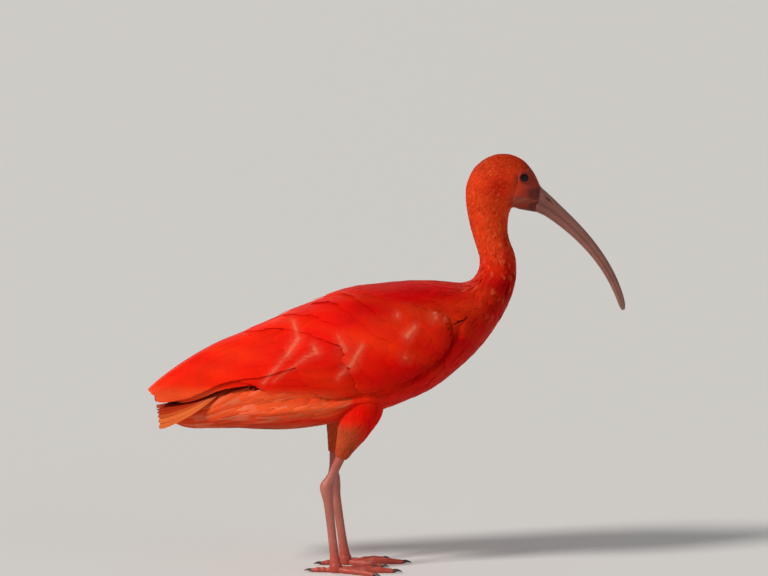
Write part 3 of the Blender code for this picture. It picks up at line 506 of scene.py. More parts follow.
def smooth(keys, values, at):
    """Values at places between the keys, on curves that pass through each of them."""
    at = np.clip(at, keys[0], keys[-1])
    i = np.clip(np.searchsorted(keys, at, side="right") - 1, 0, len(keys) - 2)
    before, after = np.maximum(i - 1, 0), np.minimum(i + 2, len(keys) - 1)
    span = keys[i + 1] - keys[i]
    t = ((at - keys[i]) / span)[..., None]
    here, there = values[i], values[i + 1]
    leave = (there - values[before]) * (span / (keys[i + 1] - keys[before]))[..., None]
    arrive = (values[after] - here) * (span / (keys[after] - keys[i]))[..., None]
    return (
        (2 * t**3 - 3 * t**2 + 1) * here
        + (t**3 - 2 * t**2 + t) * leave
        + (3 * t**2 - 2 * t**3) * there
        + (t**3 - t**2) * arrive
    )


def by_column(rows, at):
    """A table's other columns at values of its first one."""
    rows = np.asarray(rows, float)
    return smooth(rows[:, 0], rows[:, 1:], np.asarray(at, float))


def paired(first, second):
    """Two arrays with every pairing of the numbers of two runs."""
    return np.meshgrid(first, second, indexing="ij")


def turns(count, start=0.0):
    """Angles evenly round a full turn."""
    return np.linspace(start, start + 2 * math.pi, count, endpoint=False)


def unit(vectors):
    return vectors / np.maximum(np.linalg.norm(vectors, axis=-1, keepdims=True), 1e-12)


def ripple(points, size, seed):
    """A soft random swell over space, from -1 to 1, with swells about as wide as size."""
    rng = np.random.default_rng(seed)
    waves = rng.normal(size=(7, 3)) / size
    starts = rng.uniform(0, 2 * math.pi, 7)
    return np.sin(points @ waves.T + starts).mean(axis=-1) * 1.6


def within(points, limits):
    """How far places lie inside soft limits, from 0 to 1."""
    share = 1.0
    for axis, start, run in limits:
        share = share * ease((points[..., axis] - start) / run)
    return share


class Outline:
    """A run of sections, each an egg shape in the plane of its back and belly points."""

    def __init__(self, rows):
        self.rows = rows
        middles = (rows[:, 0:2] + rows[:, 2:4]) / 2
        steps = np.linalg.norm(np.diff(middles, axis=0), axis=1)
        self.keys = np.concatenate([[0.0], np.cumsum(steps)])
        self.fine_keys = np.linspace(0, self.keys[min(NECK_ROOT, len(rows) - 1)], 400)
        self.fine_middles = self.middle(self.fine_keys)

    def middle(self, key):
        """The x of the middle of a section."""
        row = smooth(self.keys, self.rows, key)
        return (row[..., 0] + row[..., 2]) / 2

    def key_at_x(self, x):
        return np.interp(x, self.fine_middles, self.fine_keys)

    def key_of(self, section):
        """The length along the outline of a section, counted from the tail."""
        return np.interp(section, np.arange(len(self.keys)), self.keys)

    def place(self, key, angle, height):
        """Points off the outline. Angle 0 is the back, plus or minus pi the belly, and plus is left."""
        angle = (np.asarray(angle) + math.pi) % (2 * math.pi) - math.pi
        turn = np.abs(angle)
        side = np.where(angle < 0, -1.0, 1.0)
        row = smooth(self.keys, self.rows, np.asarray(key) + 0 * turn)
        back, belly = row[..., 0:2], row[..., 2:4]
        half, widest = row[..., 4], row[..., 5]
        depth = np.linalg.norm(belly - back, axis=-1)
        down = (belly - back) / depth[..., None]
        reach = np.where(turn <= math.pi / 2, widest, 1 - widest)
        share = widest - reach * np.cos(turn)
        slope = reach * depth * np.sin(turn)
        across = half * np.cos(turn)
        size = np.maximum(np.hypot(slope, across), 1e-9)
        flat = back + down * (share * depth - across / size * height)[..., None]
        y = side * (half * np.sin(turn) + slope / size * height)
        return np.stack([flat[..., 0], y, flat[..., 1]], axis=-1)


BODY = Outline(BODY_ROWS)
MANTLE = Outline(MANTLE_ROWS)


def wing_edges(x):
    """The angles of the wing's upper and lower edge on the section at x, and its depth there."""
    row = by_column(WING_ROWS, np.clip(x, WING_ROWS[0, 0], WING_FRONT))
    half = smooth(MANTLE.keys, MANTLE.rows, MANTLE.key_at_x(x))[..., 4]
    midline = np.arcsin(np.clip(MIDLINE / half, 0, 1))
    return np.maximum(np.radians(row[..., 0]), midline), np.radians(row[..., 1]), row[..., 2]


def wing_cover(key, angle):
    """How far inside a wing's edge a place on the body lies, from its upper edge and from its others."""
    x = BODY.middle(key)
    turn = np.abs((angle + math.pi) % (2 * math.pi) - math.pi)
    top, low, depth = wing_edges(x)
    radius = smooth(MANTLE.keys, MANTLE.rows, MANTLE.key_at_x(x))[..., 4]
    under_top = np.where(x < BACK_MEETS, 1.0, (turn - top) * radius)
    above_low = (low - turn) * radius
    behind_front = WING_FRONT - x
    return under_top, np.minimum(above_low, behind_front), depth


class Skin:
    """The bare skin's surface: the outline, sunk under the wings and by the depth of the coat."""

    def place(self, key, angle, height):
        under_top, inside, depth = wing_cover(key, angle)
        away = np.maximum(-np.minimum(under_top, inside), 0.0)
        sunk = (depth + 0.001) * (1 - ease((away - SKIN_MARGIN) / SKIN_SHADE))
        sunk = sunk * ease((BODY.middle(key) - SKIN_TROUGH_END) / TROUGH_RUN)
        return BODY.place(key, angle, height - sunk - coat_depth(key))


class Coat:
    """The surface that the tips of the small feathers lie on."""

    def place(self, key, angle, height):
        under_top, inside, depth = wing_cover(key, angle)
        by_edge = 1 - ease((-inside - COAT_MARGIN) / COAT_SHADE)
        by_back = ease((under_top - 0.004) / 0.010)
        x = BODY.middle(key)
        sunk = (0.85 - 0.50 * ease((-x - 0.05) / 0.10)) * depth * np.minimum(by_edge, by_back)
        sunk = sunk * ease((x - COAT_TROUGH_END) / TROUGH_RUN)
        return BODY.place(key, angle, height - sunk)


class Wing:
    """The bed of one folded wing. Along is x, around is the share from its upper to its lower edge."""

    def __init__(self, side):
        self.side = side

    def place(self, x, share, height):
        top, low, depth = wing_edges(x)
        angle = top + (low - top) * np.maximum(share, 0.0)
        point = MANTLE.place(MANTLE.key_at_x(x), self.side * angle, height - depth)
        flush = np.maximum(self.side * point[..., 1], SEAM)
        point[..., 1] = self.side * flush
        return point


class TailTop:
    """The tail's arched surface. Along is x, and around is the distance from the bird's middle."""

    def place(self, x, y, height):
        ridge = by_column(RIDGE_ROWS, x)[..., 0]
        return np.stack([x + 0 * y, y + 0 * x, ridge - TAIL_ARCH * y * y + height], axis=-1)


class Limb:
    """A leg's surface round a bent line. Along is the share of its length, around is an angle."""

    def __init__(self, stations):
        centres = np.array([tuple(station[0]) for station in stations])
        steps = np.linalg.norm(np.diff(centres, axis=0), axis=1)
        self.length = steps.sum()
        self.keys = np.concatenate([[0.0], np.cumsum(steps)]) / self.length
        self.values = np.column_stack([centres, [s[1] for s in stations], [s[2] for s in stations]])

    def line(self, share):
        return smooth(self.keys, self.values, share)

    def place(self, share, angle, height):
        share, angle = np.broadcast_arrays(np.asarray(share, float), np.asarray(angle, float))
        row = self.line(share)
        ahead = unit(self.line(share + 0.01)[..., 0:3] - self.line(share - 0.01)[..., 0:3])
        side = np.array((0.0, 1.0, 0.0))
        front = unit(np.cross(side, ahead))
        side = np.cross(ahead, front)
        fore, aside = row[..., 3] + height, row[..., 4] + height
        return (
            row[..., 0:3]
            + front * (fore * np.cos(angle))[..., None]
            + side * (aside * np.sin(angle))[..., None]
        )


def coat_sizes(key):
    """Spacing, length, width and depth of the small feathers along the body."""
    keys = BODY.key_of(COAT_ROWS[:, 0])
    return smooth(keys, COAT_ROWS[:, 1:], np.asarray(key, float))


def coat_depth(key):
    return coat_sizes(key)[..., 3]


def stretch(surface, along, around, step_along, step_around):
    """Metres that one unit along and one unit around a surface cover at each place."""
    rise = surface.place(along + step_along, around, 0.0) - surface.place(along - step_along, around, 0.0)
    turn = surface.place(along, around + step_around, 0.0) - surface.place(along, around - step_around, 0.0)
    lengths = np.linalg.norm(rise, axis=-1) / (2 * step_along)
    widths = np.linalg.norm(turn, axis=-1) / (2 * step_around)
    return np.maximum(lengths, 1e-4), np.maximum(widths, 1e-4)


def tips_from(surface, root, length, turn, heading, steps):
    """Where feathers end that run so far over a surface from their roots, each turned by an angle."""
    along, around = stretch(surface, root[:, 0], root[:, 1], *steps)
    run = heading * np.cos(turn) * length / along
    return root + np.column_stack([run, np.sin(turn) * length / around])


def side_spot(points, x, z, half_long, half_wide, slope):
    """How strongly a soft oval mark shows at points, seen from the bird's side."""
    turn = math.radians(slope)
    ahead, above = points[..., 0] - x, points[..., 2] - z
    along = (ahead * math.cos(turn) + above * math.sin(turn)) / half_long
    across = (above * math.cos(turn) - ahead * math.sin(turn)) / half_wide
    return np.exp(-(along**2 + across**2))


def face_edge(z):
    """The x of the edge of the face's bare skin at heights over the floor."""
    return np.interp(z, FACE_EDGE[:, 0], FACE_EDGE[:, 1], left=0.16, right=0.16)


def plumage_tint(points):
    """The plumage's colour anywhere on the bird."""
    x, z = points[..., X], points[..., Z]
    tint = np.broadcast_to(SCARLET, points.shape)
    # Towards the wings' ends: brighter, partly own colour and partly painted light from the key lamp behind.
    tint = blend(tint, BRIGHT_AND_LIT_SCARLET, 0.8 * within(points, WING_END))
    neck = within(points, NECK)
    tint = blend(tint, NECK_SCARLET, neck)
    # Painted shade over the ear's hollow behind the eye.
    tint = blend(tint, SHADED_SCARLET, 0.85 * side_spot(points, *EAR_SHADE))
    crown = within(points, CROWN) * neck
    mantle = within(points, MANTLE_TOP) * (1 - neck)
    # Darker over the crown, and over the top of the mantle: partly its own deeper red and partly painted
    # shade on the front of the back, turned from the key lamp.
    tint = tint * (1 - 0.24 * crown - 0.26 * mantle)[..., None]
    tint = blend(tint, NECK_SCARLET, 0.55 * side_spot(points, *NECK_ROOT_MARK))
    fold = x - np.interp(z, NECK_FOLD[:, 0], NECK_FOLD[:, 1])
    on_neck = within(points, NECK_FRONT)
    # Painted shade: a dark line along the neck's fold, and fainter shade over the neck in front of it.
    tint = blend(tint, SHADED_SCARLET, 0.75 * np.exp(-((fold / FOLD_HALF) ** 2)) * on_neck)
    tint = blend(tint, SHADED_SCARLET, 0.35 * ease(fold / FOLD_HALF) * on_neck)
    near_face = ease((x - face_edge(z) + 0.0080) / 0.0080)
    tint = blend(tint, FACE_SKIN, 0.60 * near_face)
    # Painted shade over the foot of the neck's front, which is turned from the key lamp.
    tint = blend(tint, SHADED_SCARLET, 0.35 * within(points, NECK_FOOT_SHADE))
    tint = blend(tint, FLANK_SALMON, 0.75 * within(points, FLANK))
    # The underside and thighs: salmon, darkened with painted shade under the belly.
    tint = blend(tint, SHADED_THIGH_SALMON, 0.90 * within(points, UNDERSIDE))
    # Painted shade over the breast.
    tint = blend(tint, SHADED_SCARLET, 0.42 * within(points, BREAST))
    orange = ripple(points * (0.5, 1.0, 1.3), 0.0090, 7) * (1 - neck)
    tint = tint + ORANGE_CAST * np.clip(orange, -0.4, 1.0)[..., None]
    return tint * (1 + 0.06 * ripple(points, 0.012, 3) + 0.04 * ripple(points, 0.004, 4))[..., None]


def worn_and_lit_places(points):
    """Where the wings' feathers are pale, partly from wear and partly as painted highlight on edges that
    catch the light.
    """
    x = points[..., 0] + 0.0007 * ripple(points, 0.0040, 17)
    z = points[..., 2] + 0.0007 * ripple(points, 0.0040, 18)
    # worn gathers both the wear and the painted highlight.
    worn = np.zeros(points.shape[:-1])
    for x_a, z_a, x_b, z_b, half_a, half_b, strength in WORN_AND_LIT_STREAKS:
        run = (x_b - x_a) ** 2 + (z_b - z_a) ** 2
        share = np.clip(((x - x_a) * (x_b - x_a) + (z - z_a) * (z_b - z_a)) / run, 0, 1)
        off = np.hypot(x - between(x_a, x_b, share), z - between(z_a, z_b, share))
        half = between(half_a, half_b, share) + 0.0008
        core = 0.92 * ease((1 - off / half) / 0.9)
        glow = 0.25 * ease((1 - off / (half * 3.5)))
        worn = np.maximum(worn, strength * np.maximum(core, glow))
    return worn


class Vane:
    """The shape shared by feathers of one kind: their grid, outline and cross-section."""

    def __init__(self, stations, columns, shaft=0.0, root_share=0.35, widest=0.55, point=0.5, camber=0.0003):
        even = np.linspace(0, 1, stations)
        self.along = 1 - (1 - even) ** 1.35
        self.across = np.asarray(columns, float)
        self.shaft = shaft
        rise = ease(self.along / widest)
        fall = np.clip((self.along - widest) / (1 - widest), 0, 1)
        rounded = (1 - fall ** (1 / point)) ** point if point != 1 else 1 - fall
        self.profile = (root_share + (1 - root_share) * rise) * np.maximum(rounded, 0.05)
        self.camber = camber

    def faces(self):
        """Corners and sizes of one closed vane's faces: its top, its flat underside and its two ends."""
        rows, columns = len(self.along), len(self.across)
        corners, sizes = [], []
        for i in range(rows - 1):
            a, b = i * columns, (i + 1) * columns
            for j in range(columns - 1):
                corners += [a + j, a + j + 1, b + j + 1, b + j]
                sizes.append(4)
            corners += [a + columns - 1, a, b, b + columns - 1]
            sizes.append(4)
        corners += list(range(columns - 1, -1, -1))
        sizes.append(columns)
        last = (rows - 1) * columns
        corners += list(range(last, last + columns))
        sizes.append(columns)
        return np.array(corners), np.array(sizes)


def columns_round(shaft, count):
    """Places across a vane, closer together at its shaft."""
    low = np.linspace(-1, shaft - 0.06, count)
    high = np.linspace(shaft + 0.06, 1, count)
    return np.concatenate([low, [shaft], high])


TUFT = Vane(5, (-1, 0, 1), root_share=0.45, widest=0.45, point=0.75, camber=0.00010)
NECK_TUFT = Vane(5, (-1, 0, 1), root_share=0.45, widest=0.50, point=0.70, camber=0.00010)
BODY_TUFT = Vane(8, (-1, -0.5, 0, 0.5, 1), root_share=0.40, widest=0.55, point=0.62, camber=0.00012)
COVERT = Vane(36, columns_round(0.0, 5), root_share=0.5, widest=0.55, point=0.5, camber=0.00016)
SMALL_COLUMNS = (-1, -0.6, -0.2, 0.2, 0.6, 1)
COVERT_SMALL = Vane(16, SMALL_COLUMNS, root_share=0.5, widest=0.55, point=0.55, camber=0.00006)
PLUME = Vane(14, (-1, -0.5, 0, 0.5, 1), root_share=0.35, widest=0.50, point=0.70, camber=0.0005)
QUILL = Vane(84, columns_round(0.30, 6), 0.30, root_share=0.42, widest=0.45, point=0.42, camber=0.0006)
TAIL_QUILL = Vane(40, columns_round(0.0, 5), root_share=0.40, widest=0.50, point=0.26, camber=0.0004)


class Feathers:
    """Feathers of one kind laid on a surface, each from its root to its tip."""

    def __init__(self, surface, vane, root, tip, half_width, root_height, tip_height, rng, **more):
        self.surface, self.vane, self.rng = surface, vane, rng
        self.root, self.tip = root, tip
        count = len(root)
        self.count = count
        self.half = np.broadcast_to(half_width, (count,))
        self.low = np.broadcast_to(root_height, (count,))
        self.high = np.broadcast_to(tip_height, (count,))
        self.rise = more.get("rise", 0.0)
        self.ragged = more.get("ragged", 0.0)
        self.bend = more.get("bend", np.zeros(count))
        self.settle = more.get("settle", 1.0)
        self.lay()

    def lay(self):
        """Works out the points of every vane."""
        vane = self.vane
        s = vane.along[None, :]
        step = self.tip - self.root
        along = self.root[:, 0:1] + step[:, 0:1] * s
        around = self.root[:, 1:2] + step[:, 1:2] * s
        run = np.abs(step[:, 0:1]) * 0.01 + 1e-5
        length, wide = stretch(self.surface, along, around, run, 0.01)
        self.length = np.hypot(step[:, 0] * length.mean(1), step[:, 1] * wide.mean(1))
        half = self.half[:, None] * vane.profile[None, :]
        sideways = half[..., None] * vane.across + (self.bend[:, None] * (s - s * s))[..., None]
        if self.ragged:
            worn = self.rng.normal(0, 1, (self.count, len(vane.along), 2)) * self.ragged
            left, right = worn[..., 0:1], worn[..., 1:2]
            edge = np.abs(vane.across) ** 6
            sideways = sideways * (1 + edge * np.where(vane.across < 0, left, right))
        height = self.high[:, None] - (self.high - self.low)[:, None] * (1 - s) ** self.settle
        swell = (1 - (vane.across - vane.shaft) ** 2) * vane.camber
        ridge = 0.35 * vane.camber * (np.abs(vane.across - vane.shaft) < 0.01)
        lift = height[..., None] + (swell + ridge) * np.sqrt(vane.profile)[None, :, None]
        lift = lift + self.rise * (vane.across + 1) / 2
        spread = around[..., None] + sideways / wide[..., None]
        lengthwise = along[..., None] + 0 * spread
        self.points = self.surface.place(lengthwise, spread, lift)
        self.face_outwards(lengthwise, spread, lift)
        self.sideways = np.abs(sideways)
        self.roots = self.points[:, 0, len(vane.across) // 2]

    def face_outwards(self, along, around, lift):
        """Turns over the grids whose tops would face into the bird."""
        i, j = len(self.vane.along) // 2, len(self.vane.across) // 2
        p = self.points
        normal = np.cross(p[:, i, j + 1] - p[:, i, j], p[:, i + 1, j] - p[:, i, j])
        above = self.surface.place(along[:, i, j], around[:, i, j], lift[:, i, j] + 0.001) - p[:, i, j]
        self.flipped = (normal * above).sum(-1) < 0

    def tints(self, paint, root_shade, edge_tone, spread):
        """A colour for every point, darkened at the root with painted shade from the feathers over it, paler
        round the edge, varied by feather.
        """
        vane = self.vane
        colour = paint(self.points)
        tone = 1 + self.rng.normal(0, spread, self.count)
        edge = np.maximum(np.abs(vane.across)[None, :] ** 3 * 0.8, vane.along[:, None] ** 6)
        by_place = root_shade + (1 - root_shade) * ease(vane.along / 0.5)[:, None] + edge_tone * edge
        return colour * (tone[:, None, None] * by_place[None])[..., None]


def flat_uv(feathers, columns, total):
    """A cell of the bake's map for each feather, in rows of so many."""
    index = feathers.cells
    cell = 1.0 / columns
    rows = math.ceil(total / columns)
    u = (index % columns + 0.5)[:, None, None] * cell
    u = u + (feathers.vane.across * 0.46 * cell)[None, None, :]
    v = (index // columns + 0.04)[:, None, None] / rows + (feathers.vane.along * 0.92 / rows)[None, :, None]
    return np.stack(np.broadcast_arrays(u, v), axis=-1)


PATCH = 0.003  # side of a small feather's patch, as a share of the bake's map


def patch_uv(feathers, low, high):
    """A small patch of the bake's map at each feather's root, on the unrolled surface under it."""
    root = (feathers.root - low) / (high - low)
    root = 0.01 + 0.98 * np.clip(root, 0, 1)
    u = root[:, 1, None, None] + (feathers.vane.across * PATCH / 2)[None, None, :]
    inwards = np.sign(0.5 - root[:, 0])[:, None, None]
    v = root[:, 0, None, None] + (feathers.vane.along * PATCH)[None, :, None] * inwards
    return np.clip(np.stack(np.broadcast_arrays(u, v), axis=-1), 0, 1)


def mesh_from(name, points, corners, sizes):
    """A mesh from its points, the corners of all its faces in turn, and each face's number of corners."""
    mesh = bpy.data.meshes.new(name)
    mesh.vertices.add(len(points))
    mesh.vertices.foreach_set("co", points.astype(np.float32).ravel())
    mesh.loops.add(len(corners))
    mesh.loops.foreach_set("vertex_index", corners.astype(np.int32))
    mesh.polygons.add(len(sizes))
    starts = np.concatenate([[0], np.cumsum(sizes)[:-1]])
    mesh.polygons.foreach_set("loop_start", starts.astype(np.int32))
    mesh.update(calc_edges=True)
    mesh.validate()
    return mesh


def keep_colours(mesh, tints):
    layer = mesh.color_attributes.new(name="tint", type="FLOAT_COLOR", domain="POINT")
    full = np.column_stack([np.clip(tints, 0, 1), np.ones(len(tints))])
    layer.data.foreach_set("color", full.astype(np.float32).ravel())


def keep_numbers(mesh, name, numbers):
    layer = mesh.attributes.new(name=name, type="FLOAT", domain="POINT")
    layer.data.foreach_set("value", numbers.astype(np.float32).ravel())


def keep_map(mesh, places):
    """The map that a bake uses, from each point's place on it."""
    layer = mesh.uv_layers.new(name="OFBake")
    corners = np.empty(len(mesh.loops), np.int32)
    mesh.loops.foreach_get("vertex_index", corners)
    layer.data.foreach_set("uv", places[corners].astype(np.float32).ravel())


def add_piece(name, mesh, finish, slot, *nodes):
    """Puts a mesh on the bird, in place of some of its solids."""
    piece = bpy.data.objects.new(name, mesh)
    bpy.context.scene.collection.objects.link(piece)
    mesh.materials.append(finish)
    mesh.transform(Matrix.Translation(Vector(SHIFT)))
    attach(piece, WHOLE_BIRD)
    if nodes:
        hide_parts(*nodes)
    return piece


def feather_piece(name, groups, tints, maps, finish, slot, *nodes):
    """One mesh from groups of laid feathers."""
    points, corners, sizes, barbs, shafts = [], [], [], [], []
    start = 0
    for group in groups:
        vane = group.vane
        grid = len(vane.along) * len(vane.across)
        one, face_sizes = vane.faces()
        shape = (group.count, len(vane.along), len(vane.across))
        index = np.arange(grid).reshape(len(vane.along), len(vane.across))
        turned = index[:, ::-1].ravel()
        per = np.where(group.flipped[:, None], turned[one][None, :], one[None, :])
        corners.append((per + start + np.arange(group.count)[:, None] * grid).ravel())
        sizes.append(np.tile(face_sizes, group.count))
        points.append(group.points.reshape(-1, 3))
        length = group.length[:, None, None] * vane.along[None, :, None]
        barbs.append((length - 0.8 * group.sideways).ravel())
        off_shaft = np.broadcast_to(np.abs(vane.across - vane.shaft), shape)
        shafts.append(off_shaft.ravel())
        start += group.count * grid
    mesh = mesh_from(name, np.concatenate(points), np.concatenate(corners), np.concatenate(sizes))
    keep_colours(mesh, np.concatenate([t.reshape(-1, 3) for t in tints]))
    keep_numbers(mesh, "barb", np.concatenate(barbs))
    keep_numbers(mesh, "off_shaft", np.concatenate(shafts))
    keep_map(mesh, np.concatenate([m.reshape(-1, 2) for m in maps]))
    mesh.shade_smooth()
    mesh.set_sharp_from_angle(angle=math.radians(55))
    return add_piece(name, mesh, finish, slot, *nodes)


def scatter(surface, low, high, spacing, keep, rng):
    """Roots spread over a surface, no two closer than the spacing there, like drops of rain."""
    along = np.linspace(low[0], high[0], 160)
    around = np.linspace(low[1], high[1], 200)
    grid = surface.place(along[:, None] + 0 * around, around[None, :] + 0 * along[:, None], 0.0)
    rise, turn = np.diff(grid[:, :-1], axis=0), np.diff(grid[:-1], axis=1)
    area = np.linalg.norm(np.cross(rise, turn), axis=-1)
    local = spacing((along[:-1] + along[1:])[:, None] / 2 + 0 * around[:-1])
    wanted = (area / local**2).ravel()
    throws = int(wanted.sum() * 5)
    cells = rng.choice(len(wanted), throws, p=wanted / wanted.sum())
    i, j = np.divmod(cells, len(around) - 1)
    a = along[i] + rng.random(throws) * (along[1] - along[0])
    b = around[j] + rng.random(throws) * (around[1] - around[0])
    kept = keep(a, b)
    a, b = a[kept], b[kept]
    points = surface.place(a, b, 0.0)
    reach = spacing(a) * 0.86
    cell = reach.max()
    boxes = np.floor(points / cell).astype(int)
    taken, chosen = {}, []
    places = [tuple(p) for p in points]
    nearby = [(i, j, k) for i in (-1, 0, 1) for j in (-1, 0, 1) for k in (-1, 0, 1)]
    for n, (x, y, z) in enumerate(places):
        r = reach[n] ** 2
        u, v, w = boxes[n]
        clear = True
        for i, j, k in nearby:
            for x2, y2, z2 in taken.get((u + i, v + j, w + k), ()):
                if (x - x2) ** 2 + (y - y2) ** 2 + (z - z2) ** 2 < r:
                    clear = False
                    break
            if not clear:
                break
        if clear:
            taken.setdefault((u, v, w), []).append((x, y, z))
            chosen.append(n)
    return np.column_stack([a[chosen], b[chosen]])


class Value:
    """A number or colour out of a node, so that a finish's sums read as plain sums."""

    def __init__(self, finish, socket):
        self.finish, self.socket = finish, socket

    def maths(self, operation, first, second):
        return self.finish.node("ShaderNodeMath", {"operation": operation}, first, second)

    def __add__(self, other):
        return self.maths("ADD", self, other)

    def __sub__(self, other):
        return self.maths("SUBTRACT", self, other)

    def __rsub__(self, other):
        return self.maths("SUBTRACT", other, self)

    def __mul__(self, other):
        return self.maths("MULTIPLY", self, other)

    __radd__, __rmul__ = __add__, __mul__


class Finish:
    """One material, built from its nodes."""

    def __init__(self, name, **constants):
        self.material = bpy.data.materials.new(name)
        self.material.use_nodes = True
        self.nodes = self.material.node_tree.nodes
        self.links = self.material.node_tree.links
        self.shader = self.nodes["Principled BSDF"]
        for socket, number in constants.items():
            self.shader.inputs[socket.replace("_", " ")].default_value = number

    def node(self, kind, settings=None, *inputs, **named):
        """A node of a kind, with its settings, and values or links for its sockets."""
        made = self.nodes.new(kind)
        for setting, choice in (settings or {}).items():
            setattr(made, setting, choice)
        sockets = [s for s in made.inputs if s.enabled]
        pairs = list(zip(sockets, inputs))
        pairs += [(made.inputs[key.replace("_", " ")], value) for key, value in named.items()]
        for socket, value in pairs:
            if isinstance(value, Value):
                self.links.new(value.socket, socket)
            elif value is not None:
                socket.default_value = value
        return Value(self, next(s for s in made.outputs if s.enabled))

    def number(self, name):
        """A number kept with the mesh."""
        made = self.node("ShaderNodeAttribute", {"attribute_name": name})
        return Value(self, made.socket.node.outputs["Fac"])

    def tint(self):
        return self.node("ShaderNodeAttribute", {"attribute_name": "tint"})

    def noise(self, scale, detail=2.0):
        made = self.node("ShaderNodeTexNoise", {}, Vector=self.place(), Scale=scale, Detail=detail)
        return Value(self, made.socket.node.outputs["Fac"])

    def place(self):
        made = self.node("ShaderNodeTexCoord")
        return Value(self, made.socket.node.outputs["Object"])

    def cells(self, scale):
        made = self.node("ShaderNodeTexVoronoi", {"feature": "F1"}, Vector=self.place(), Scale=scale)
        return Value(self, made.socket.node.outputs["Distance"])

    def shaded(self, colour, shade):
        """A colour made lighter or darker by a number."""
        settings = {"data_type": "RGBA", "blend_type": "MULTIPLY"}
        return self.node("ShaderNodeMix", settings, 1.0, colour, shade)

    def wave(self, number, pitch):
        """Ridges, from 0 to 1, at a pitch in metres."""
        turn = number * (2 * math.pi / pitch)
        swing = self.node("ShaderNodeMath", {"operation": "SINE"}, turn)
        return swing * 0.5 + 0.5

    def step(self, number, low, high):
        """0 below low, 1 above high, and smooth between them."""
        settings = {"interpolation_type": "SMOOTHSTEP"}
        return self.node("ShaderNodeMapRange", settings, number, low, high, 0.0, 1.0)

    def feed(self, socket, value):
        self.links.new(value.socket, self.shader.inputs[socket])

    def bump(self, height, distance, strength=1.0):
        made = self.node("ShaderNodeBump", {}, Strength=strength, Distance=distance, Height=height)
        self.feed("Normal", made)


def plumage_finish(name, barb_pitch, barb_depth, shaft_depth, **constants):
    """Feathers: barbs run out from the shaft, and fine dust and gloss vary over them."""
    finish = Finish(name, **constants)
    grain = finish.noise(900.0, 3.0)
    broad = finish.noise(70.0)
    barbs = finish.wave(finish.number("barb"), barb_pitch)
    shaft = 1 - finish.step(finish.number("off_shaft"), 0.02, 0.09)
    shade = 0.80 + grain * 0.20 + broad * 0.16 + barbs * 0.05 - shaft * shaft_depth * 0.08
    finish.feed("Base Color", finish.shaded(finish.tint(), shade))
    finish.feed("Roughness", 0.48 + grain * 0.16 - shaft * 0.10 * shaft_depth)
    finish.bump(barbs * 0.6 + grain * 0.5 + shaft * shaft_depth, barb_depth)
    return finish.material


def bare_face(points):
    """How bare of feathers the face is, from 0 to 1, seen from the side."""
    x = points[..., 0] + 0.0005 * ripple(points, 0.0016, 5)
    z = points[..., 2] + 0.0005 * ripple(points, 0.0016, 6)
    ring = np.hypot(x - EYE_SPOT[0], z - EYE_SPOT[2])
    by_eye = 1 - ease((ring - 0.0050) / 0.0012)
    face = ease((x - face_edge(z) + 0.0008) / 0.0032)
    front = ease((x - 0.1365) / 0.0010)
    return np.maximum.reduce([by_eye, face, front])


def skin_tint(points):
    """Colour of the skin: as the plumage over it, and bare round the eyes and the bill."""
    x, z = points[..., X], points[..., Z]
    bare = bare_face(points)
    skin = blend(FACE_SKIN, LORE_SKIN, within(points, LORES))
    slant = 0.2 * (x - 0.125)
    gape = ease((0.3410 - z - slant) / 0.003) * ease((z - 0.3330 - slant) / 0.002)
    skin = blend(skin, GAPE_SKIN, gape)
    skin = blend(skin, LORE_SKIN, 0.7 * within(points, CHIN))
    skin = blend(skin, NECK_SCARLET * 0.8, 0.70 * within(points, BEHIND_EYE))
    skin = skin * (1 + 0.10 * ripple(points, 0.0012, 8))[..., None]
    return blend(plumage_tint(points) * 0.8, skin, bare)


def ring_faces(rings, sides):
    """Faces of a tube of rings, with a cap at either end."""
    i = np.arange(rings - 1)[:, None]
    j = np.arange(sides)[None, :]
    k = (j + 1) % sides
    here, there = i * sides, (i + 1) * sides
    quads = np.stack([here + j, here + k, there + k, there + j], axis=-1)
    first = np.arange(sides)[::-1]
    last = (rings - 1) * sides + np.arange(sides)
    corners = np.concatenate([quads.reshape(-1), first, last])
    sizes = np.concatenate([np.full((rings - 1) * sides, 4), [sides, sides]])
    return corners, sizes


def outward(mesh):
    """Turns a closed mesh's faces outwards."""
    shape = bmesh.new()
    shape.from_mesh(mesh)
    bmesh.ops.recalc_face_normals(shape, faces=shape.faces)
    shape.to_mesh(mesh)
    shape.free()
    return mesh


def tube_mesh(name, grid):
    """A closed mesh from rings of points."""
    rings, sides = grid.shape[:2]
    corners, sizes = ring_faces(rings, sides)
    return outward(mesh_from(name, grid.reshape(-1, 3), corners, sizes))


def joined(name, meshes):
    """One closed mesh from closed meshes that run into each other."""
    main = bpy.data.objects.new(name, meshes[0])
    group = bpy.data.collections.new(name + "_pieces")
    bpy.context.scene.collection.objects.link(main)
    bpy.context.scene.collection.children.link(group)
    for mesh in meshes[1:]:
        group.objects.link(bpy.data.objects.new(mesh.name, mesh))
    union = main.modifiers.new("join", "BOOLEAN")
    union.operation = "UNION"
    union.operand_type = "COLLECTION"
    union.collection = group
    union.solver = "MANIFOLD"
    bpy.context.view_layer.update()
    graph = bpy.context.evaluated_depsgraph_get()
    made = bpy.data.meshes.new_from_object(main.evaluated_get(graph))
    for obj in list(group.objects) + [main]:
        bpy.data.objects.remove(obj)
    bpy.data.collections.remove(group)
    made.name = name
    made.materials.clear()
    return made


def corners_of(mesh):
    """A mesh's points as an array."""
    points = np.empty(len(mesh.vertices) * 3)
    mesh.vertices.foreach_get("co", points)
    return points.reshape(-1, 3)


